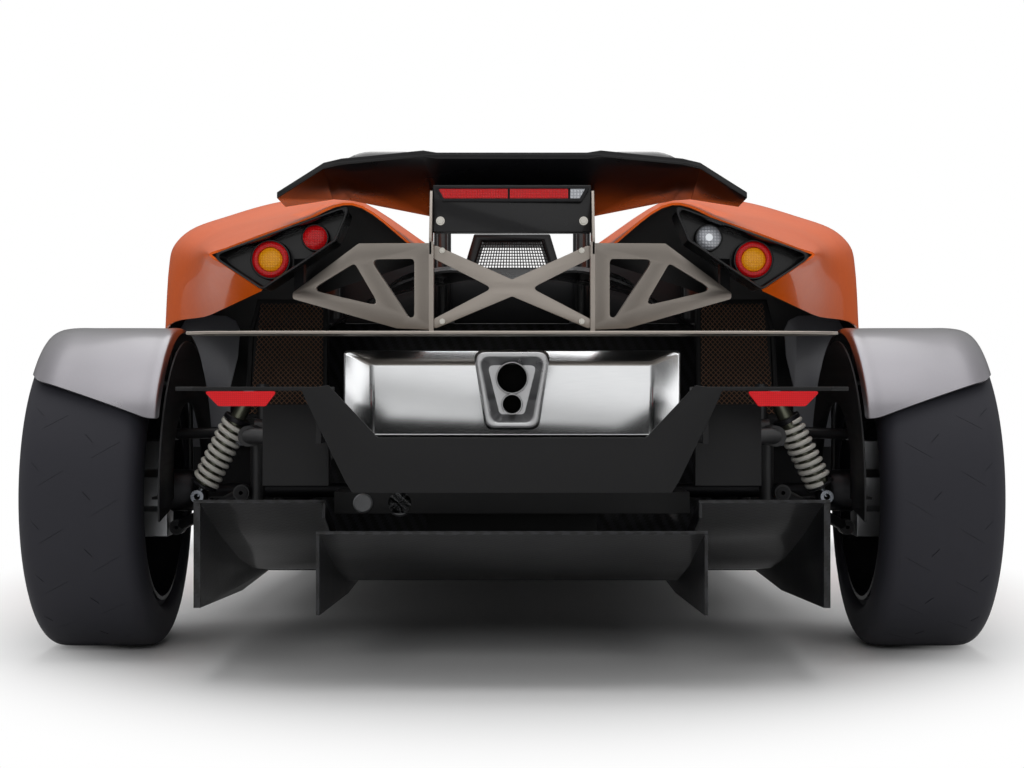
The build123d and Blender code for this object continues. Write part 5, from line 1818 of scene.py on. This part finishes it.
    @staticmethod
    def rack() -> None:
        """Makes the steering rack's bar with its rod ends."""
        y, z, x = FA + 100, 262, 720
        blank = Blank(GROUND_STEEL).tube([(-x, y, z), (x, y, z)], 9, 24)
        for sign in (-1, 1):
            pin = [(-11.7, 0), (-11.7, 13), (-10, 14), (10, 14), (12, 12), (12, 0)]
            blank.take(FORGED_ALUMINIUM).lathe(pin, (sign * x, y, z), (0, 0, 1), 28)
        blank.make("rack_bar", ("steering_rack",), "rack", bevel=0.6)


@dataclass
class Cooling:
    """Radiator cores behind diamond guards, the grey shields ahead of the rear wheels and the air intake."""

    guard_y: float = RA + 418
    screen_y: float = RA + 506
    firewall_y: float = RA + 866
    liner_y: float = RA + 424

    def build(self) -> None:
        """Makes the cores, shields, intake and guards."""
        refined("radiators", CORE_BLACK, 1.5)
        refined("pod_bulkheads", SHIELD_GREY, 2.0)
        refined("intake", BLACK_LACQUER, 3.0)
        y = self.guard_y
        corners = [(440, y, 476), (611, y, 476), (585, y, 732), (440, y, 732)]
        # the guard wires' warm brown is a painted reflection of the orange side panels
        HARDWARE.guard("radiator_guards", corners, 6, 0.9, REFLECTION_TINTED_WIRE, True, "radiator", True)
        y = self.screen_y
        corners = [(-91, y, 820.5), (91, y, 820.5), (71, y, 883.5), (-71, y, 883.5)]
        HARDWARE.guard("intake_screen", corners, 7, 1.3, WIRE_BLACK, False, "black_trim")
        self.firewall()

    def firewall(self) -> None:
        """Makes the black panel behind the seats, cut low for the air duct, and the liners below the shields."""
        half = [(118, 815), (118, 857), (215, 857), (290, 882), (430, 882), (482, 846), (482, 700.4)]
        outline = rounded(half + [(-x, z) for x, z in half[::-1]], 9, 4)
        blank = Blank(GRAINED_PLASTIC).plate([outline], facing_rear(self.firewall_y), -4, 0, 0.8)
        liner = rounded([(535, 250), (768, 250), (768, 424), (535, 424)], 12, 4)
        for sign in (1, -1):
            blank.plate([[(sign * x, z) for x, z in liner]], facing_rear(self.liner_y), -3, 0, 0.7)
        blank.make("firewall_panels", slot="black_trim", sharp=30)


@dataclass
class Cockpit:
    """Seats with padded faces, roll hoops, dashboard, steering wheel, screen and mirrors."""

    seat_x: float = 300.0
    back_y: float = RA + 929

    def build(self) -> None:
        """Makes everything around the two occupants."""
        self.hoops()
        self.shells()
        self.pads()
        self.helm()
        self.screen()
        self.mirrors()
        refined("dashboard", GRAINED_PLASTIC, 6)

    def hoops(self) -> None:
        """Bends the two roll hoops and sets them on their feet."""
        y, top, bend = RA + 841.5, 1118, 95
        path = [Vector((178, y, 712))]
        for corner, start in ((178 + bend, 180), (455 - bend, 90)):
            for step in range(13):
                turn = math.radians(start - 7.5 * step)
                path.append(Vector((corner + bend * math.cos(turn), y, top - bend + bend * math.sin(turn))))
        path.append(Vector((455, y, 712)))
        blank = Blank(HOOP_BLACK).tube(path, 22, 32)
        for x in (178, 455):
            blank.block((x - 30, RA + 819, 700.3), (x + 30, RA + 864, 712))
        blank.mirror().make("roll_hoop_tubes", ("roll_hoops",), sharp=50)
        spots = [(sign * x + d, RA + 826, 712) for sign in (1, -1) for x in (178, 455) for d in (-22, 22)]
        HARDWARE.bolt_row("hoop_bolts", spots, (0, 0, 1), 5, finish=BLACK_BOLT, slot="steel")

    def line(self, steps: int) -> Line:
        """Returns the seat face's side line, from its head to its knee, as forward and up."""
        corners = [(0, 790), (35, 560), (120, 185), (210, 165), (470, 220)]
        return [Vector(spot) for spot in rounded(corners, 60, steps, closed=False)]

    def shells(self) -> None:
        """Makes the seats' thin shells and side bolsters."""
        blank = Blank(CARBON_TWILL)
        line = self.line(6)
        outer, inner = [], []
        for i, here in enumerate(line):
            ahead = (line[min(i + 1, len(line) - 1)] - line[max(i - 1, 0)]).normalized()
            left = Vector((-ahead.y, ahead.x))
            outer.append((self.back_y + here.x, here.y))
            inner.append((self.back_y + here.x + left.x * 9, here.y + left.y * 9))
        blank.prism(outer + inner[::-1], facing_side(0), self.seat_x - 190, self.seat_x + 190)
        bolster = rounded([
            (12, 700), (35, 560), (120, 185), (210, 165), (450, 216), (440, 254), (220, 228), (150, 256), (112, 600),
            (72, 690),
        ], 24, 5)
        for x in (self.seat_x - 200, self.seat_x + 176):
            blank.take(CARBON_TWILL)
            blank.prism([(self.back_y + y, z) for y, z in bolster], facing_side(0), x, x + 24)
        blank.take(POWDER_COAT).block(
            (self.seat_x - 120, self.back_y + 200, 140.6), (self.seat_x + 120, self.back_y + 260, 172)
        )
        blank.mirror().make("seat_shells", ("seats",), bevel=3.0)

    def pads(self) -> None:
        """Builds the back and base pads, puffs them up by cloth simulation and lays them on the shells."""
        line = self.line(6)
        lengths = [0.0]
        for first, second in zip(line, line[1:]):
            lengths.append(lengths[-1] + (second - first).length)
        for label, low, high in (("back", 95.0, 545.0), ("base", 640.0, 900.0)):
            for side in Side:
                made = self.pad(line, lengths, low, high, side)
                piece = hang(made, f"seat_pad_{label}_{side.word}", slot="seat", sharp=60)

    def pad(self, line: Line, lengths: list[float], low: float, high: float, side: Side) -> Mesh:
        """Returns one pad, raised in its middle and lower at its side edges and ends.

        Args:
            line: The seat face's side line.
            lengths: Each point's distance along it.
            low: Where the pad starts along it.
            high: Where the pad ends.
            side: The side of the car.

        Returns:
            The pad's mesh.
        """
        def spot(along: float, lift: float, across: float) -> Vector:
            """Returns the point at a distance along the seat, above its face and across it."""
            i = max(k for k in range(len(lengths) - 1) if lengths[k] <= along)
            share = (along - lengths[i]) / (lengths[i + 1] - lengths[i])
            here, ahead = line[i].lerp(line[i + 1], share), (line[i + 1] - line[i]).normalized()
            return Vector((
                side.value * self.seat_x + across, self.back_y + here.x - ahead.y * lift, here.y + ahead.x * lift
            ))

        half, rows = 158.0, []
        count, wide = 30, 16
        section = []
        for k in range(wide + 1):
            across = -half + 2 * half * k / wide
            section.append((across, 1.0 if abs(across) < half - 1 else 0.45))
        for r in range(count + 1):
            along = low + (high - low) * r / count
            end = min(r, count - r) / 2
            crown = min(1.0, 0.45 + 0.4 * end)
            top = [spot(along, 10 + 9 * crown * swell, across) for across, swell in section]
            bottom = [spot(along, 9.6, across) for across, _ in section[::-1]]
            rows.append(top + bottom)
        blank = Blank(PAD_CLOTH).net(rows)
        mesh = blank.mesh("pad")
        return puffed(mesh, 3.2)

    @staticmethod
    def helm() -> None:
        """Makes the steering wheel: a padded ring, flat spokes and its column."""
        tilt = math.radians(20)
        aim = Vector((0, -math.cos(tilt), math.sin(tilt)))
        foot = Vector((-260, FA - 671.3, 469))
        hub = foot + aim * 250
        blank = Blank(GROUND_STEEL).tube([foot + aim * 6, hub], 16, 28)
        grip = [(13 * math.cos(a), 148.5 + 13.2 * math.sin(a)) for a in [2 * math.pi * k / 16 for k in range(16)]]
        blank.take(PAD_CLOTH).lathe(grip, hub, aim, 72)
        plane = placed(hub, (1, 0, 0), -aim.cross(Vector((1, 0, 0))))
        for turn in (0, 180, 270):
            cos, sin = math.cos(math.radians(turn)), math.sin(math.radians(turn))
            flat = [(u * cos - v * sin, u * sin + v * cos) for u, v in ((20, -19), (140, -13), (140, 13), (20, 19))]
            blank.take(FORGED_ALUMINIUM).prism(flat, plane, -3, 3)
        boss = [(-6, 0), (-6, 44), (8, 44), (12, 38), (12, 0)]
        blank.take(GRAINED_PLASTIC).lathe(boss, hub, aim, 48)
        blank.make("steering_wheel_grip", ("steering_wheel",), "helm", bevel=1.2)

    @staticmethod
    def screen() -> None:
        """Makes the low curved-cornered screen."""
        y = FA - 569
        rise = Vector((0, -76, 120.6))
        plane = placed((0, y - 6, 631.4), (1, 0, 0), rise)
        tall = rise.length - 2
        outline = rounded([(-390, 0), (390, 0), (372, tall), (-372, tall)], 46, 8)
        blank = Blank(SMOKED_ACRYLIC).plate([outline], plane, -5.5, 0, 0.8)
        blank.make("screen_acrylic", ("windscreen",), sharp=30)

    @staticmethod
    def mirrors() -> None:
        """Makes the door mirrors: a rounded shell, its glass and its stalk."""
        y = FA - 701
        blank = Blank(POWDER_COAT).tube([(580, y, 604), (690, y - 10, 800)], 9, 20)
        shell = rounded([(615, 790), (785, 790), (785, 880), (615, 880)], 24, 7)
        plane, middle = facing_rear(y), Vector((700, 835))
        rows = []
        for depth, share in ((-20, 0.7), (-14, 0.88), (0, 0.98), (30, 1.0), (40, 0.98), (40, 0.93), (36, 0.91)):
            rows.append([plane @ (middle + (Vector(p) - middle) * share).to_3d().xyz + Vector((0, -depth, 0))
                         for p in shell])
        blank.take(BLACK_LACQUER).net(rows)
        glass = [tuple(middle + (Vector(p) - middle) * 0.9) for p in shell]
        blank.take(MIRROR_GLASS).prism(glass, facing_rear(y), 34, 37)
        blank.mirror().make("mirror_shells", ("mirrors",), sharp=40)


@dataclass
class FrontLamps:
    """Round headlamps on bent tubes beside the tub."""

    lamp_x: float = 400.0
    lamp_y: float = FA + 199
    lamp_z: float = 570.0

    def build(self) -> None:
        """Makes both lamps with bowl, lens and bracket."""
        y = self.lamp_y
        blank = Blank(BLACK_LACQUER)
        bowl = [(-50, 0), (-50, 22), (-44, 40), (-26, 54), (0, 60), (64, 60), (69, 58), (69, 55), (58, 53), (58, 0)]
        seat = (self.lamp_x, y, self.lamp_z)
        blank.lathe(bowl, seat, (0, 1, 0), 56)
        lens = [(57, 0), (57, 53), (64, 53), (67, 44), (69, 24), (69.5, 0)]
        blank.take(CLEAR_LENS).lathe(lens, seat, (0, 1, 0), 56)
        bends = ((232.6, 442), (270, 446), (330, 490), (396, 542))
        path = flowing([Vector((x, y, z)) for x, z in bends], 6)
        blank.take(POWDER_COAT).tube(path, 12, 24)
        blank.mirror().make("headlamp_bowls", ("headlamps",), sharp=40)


@dataclass
class Underside:
    """Carbon tub, floor, splitter and diffusers, the plastic skirt, and the castings behind the tub."""

    def build(self) -> None:
        """Dresses the large solids with rounded edges and adds the gearbox's fittings."""
        for node, bevel in (("tub", 6), ("splitter", 2), ("diffusers", 1.2), ("underfloor", 2)):
            refined(node, CARBON_TWILL, bevel)
        refined("rear_skirt", SKIRT_PLASTIC, 1.6)
        refined("wing", BLACK_LACQUER, 1.8)
        refined("engine", CORE_BLACK, 5)
        refined("uprights_rear", FORGED_ALUMINIUM, 3)
        refined("upright_front_right", FORGED_ALUMINIUM, 3, "knuckle_fr")
        refined("upright_front_left", FORGED_ALUMINIUM, 3, "knuckle_fl")
        blank = Blank(CAST_ALUMINIUM)
        for x, r, low, high in ((-285, 19, -338, -300), (-215, 26, -330, -250)):
            pin = [(low, 0), (low, r - 3), (low + 3, r), (high, r), (high, 0)]
            blank.lathe(pin, (x, RA, 317), (0, 1, 0), 32)
        blank.make("gearbox_fittings", bevel=1.0, slot="cast")


def puffed(mesh: Mesh, most: float) -> Mesh:
    """Puffs a pad up with a short cloth simulation.

    Args:
        mesh: The pad's closed mesh.
        most: How far a point may move.

    Returns:
        The puffed mesh with one subdivision.
    """
    scene = bpy.context.scene
    holder = stand("pad", mesh)
    fine = holder.modifiers.new("cloth grid", "REMESH")
    fine.mode, fine.voxel_size = "VOXEL", 6 * MM
    grid = applied(holder)
    holder.modifiers.remove(fine)
    holder.data = grid
    start = [vertex.co.copy() for vertex in grid.vertices]
    cloth = holder.modifiers.new("puff", "CLOTH")
    cloth.settings.use_pressure = True
    cloth.settings.uniform_pressure_force = 4
    cloth.settings.effector_weights.gravity = 0
    for step in range(1, 21):
        scene.frame_set(step)
    after = holder.evaluated_get(bpy.context.evaluated_depsgraph_get()).data
    ends = [vertex.co.copy() for vertex in after.vertices]
    holder.modifiers.remove(cloth)
    scene.frame_set(1)
    for vertex, first, last in zip(grid.vertices, start, ends):
        move = last - first
        vertex.co = first + move * min(1.0, most * MM / max(move.length, 1e-9))
    smooth = holder.modifiers.new("fine", "SUBSURF")
    smooth.levels = smooth.render_levels = 1
    result = applied(holder)
    bpy.data.objects.remove(holder)
    if not result.materials:
        result.materials.append(PAD_CLOTH.material())
    return result


HARDWARE = Hardware()


def main() -> None:
    """Builds the studio and each sub-assembly."""
    logging.basicConfig(level=logging.INFO)
    Studio().build()
    assemblies = (
        Underside(), Wheel("rear", 838, RA, 322.5, 229, 238), Wheel("front", 822, FA, 298, 216, 205),
        CycleWing("rear", 838, RA, 322.5, 339.5, 683, 948, 44, 26, 132),
        CycleWing("front", 822, FA, 298, 318, 696, 934, 30, 14, 138), Bodywork(), LampPods(), TailLights(),
        TailFrame(), Exhaust(), RearCorner(), Cooling(), Cockpit(), FrontLamps(),
    )
    for assembly in assemblies:
        assembly.build()
        LOG.info("built %s", type(assembly).__name__)
    for name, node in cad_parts.items():
        if not node.hide_render:
            LOG.warning("%s still shows", name)


if __name__ == "__main__":
    main()
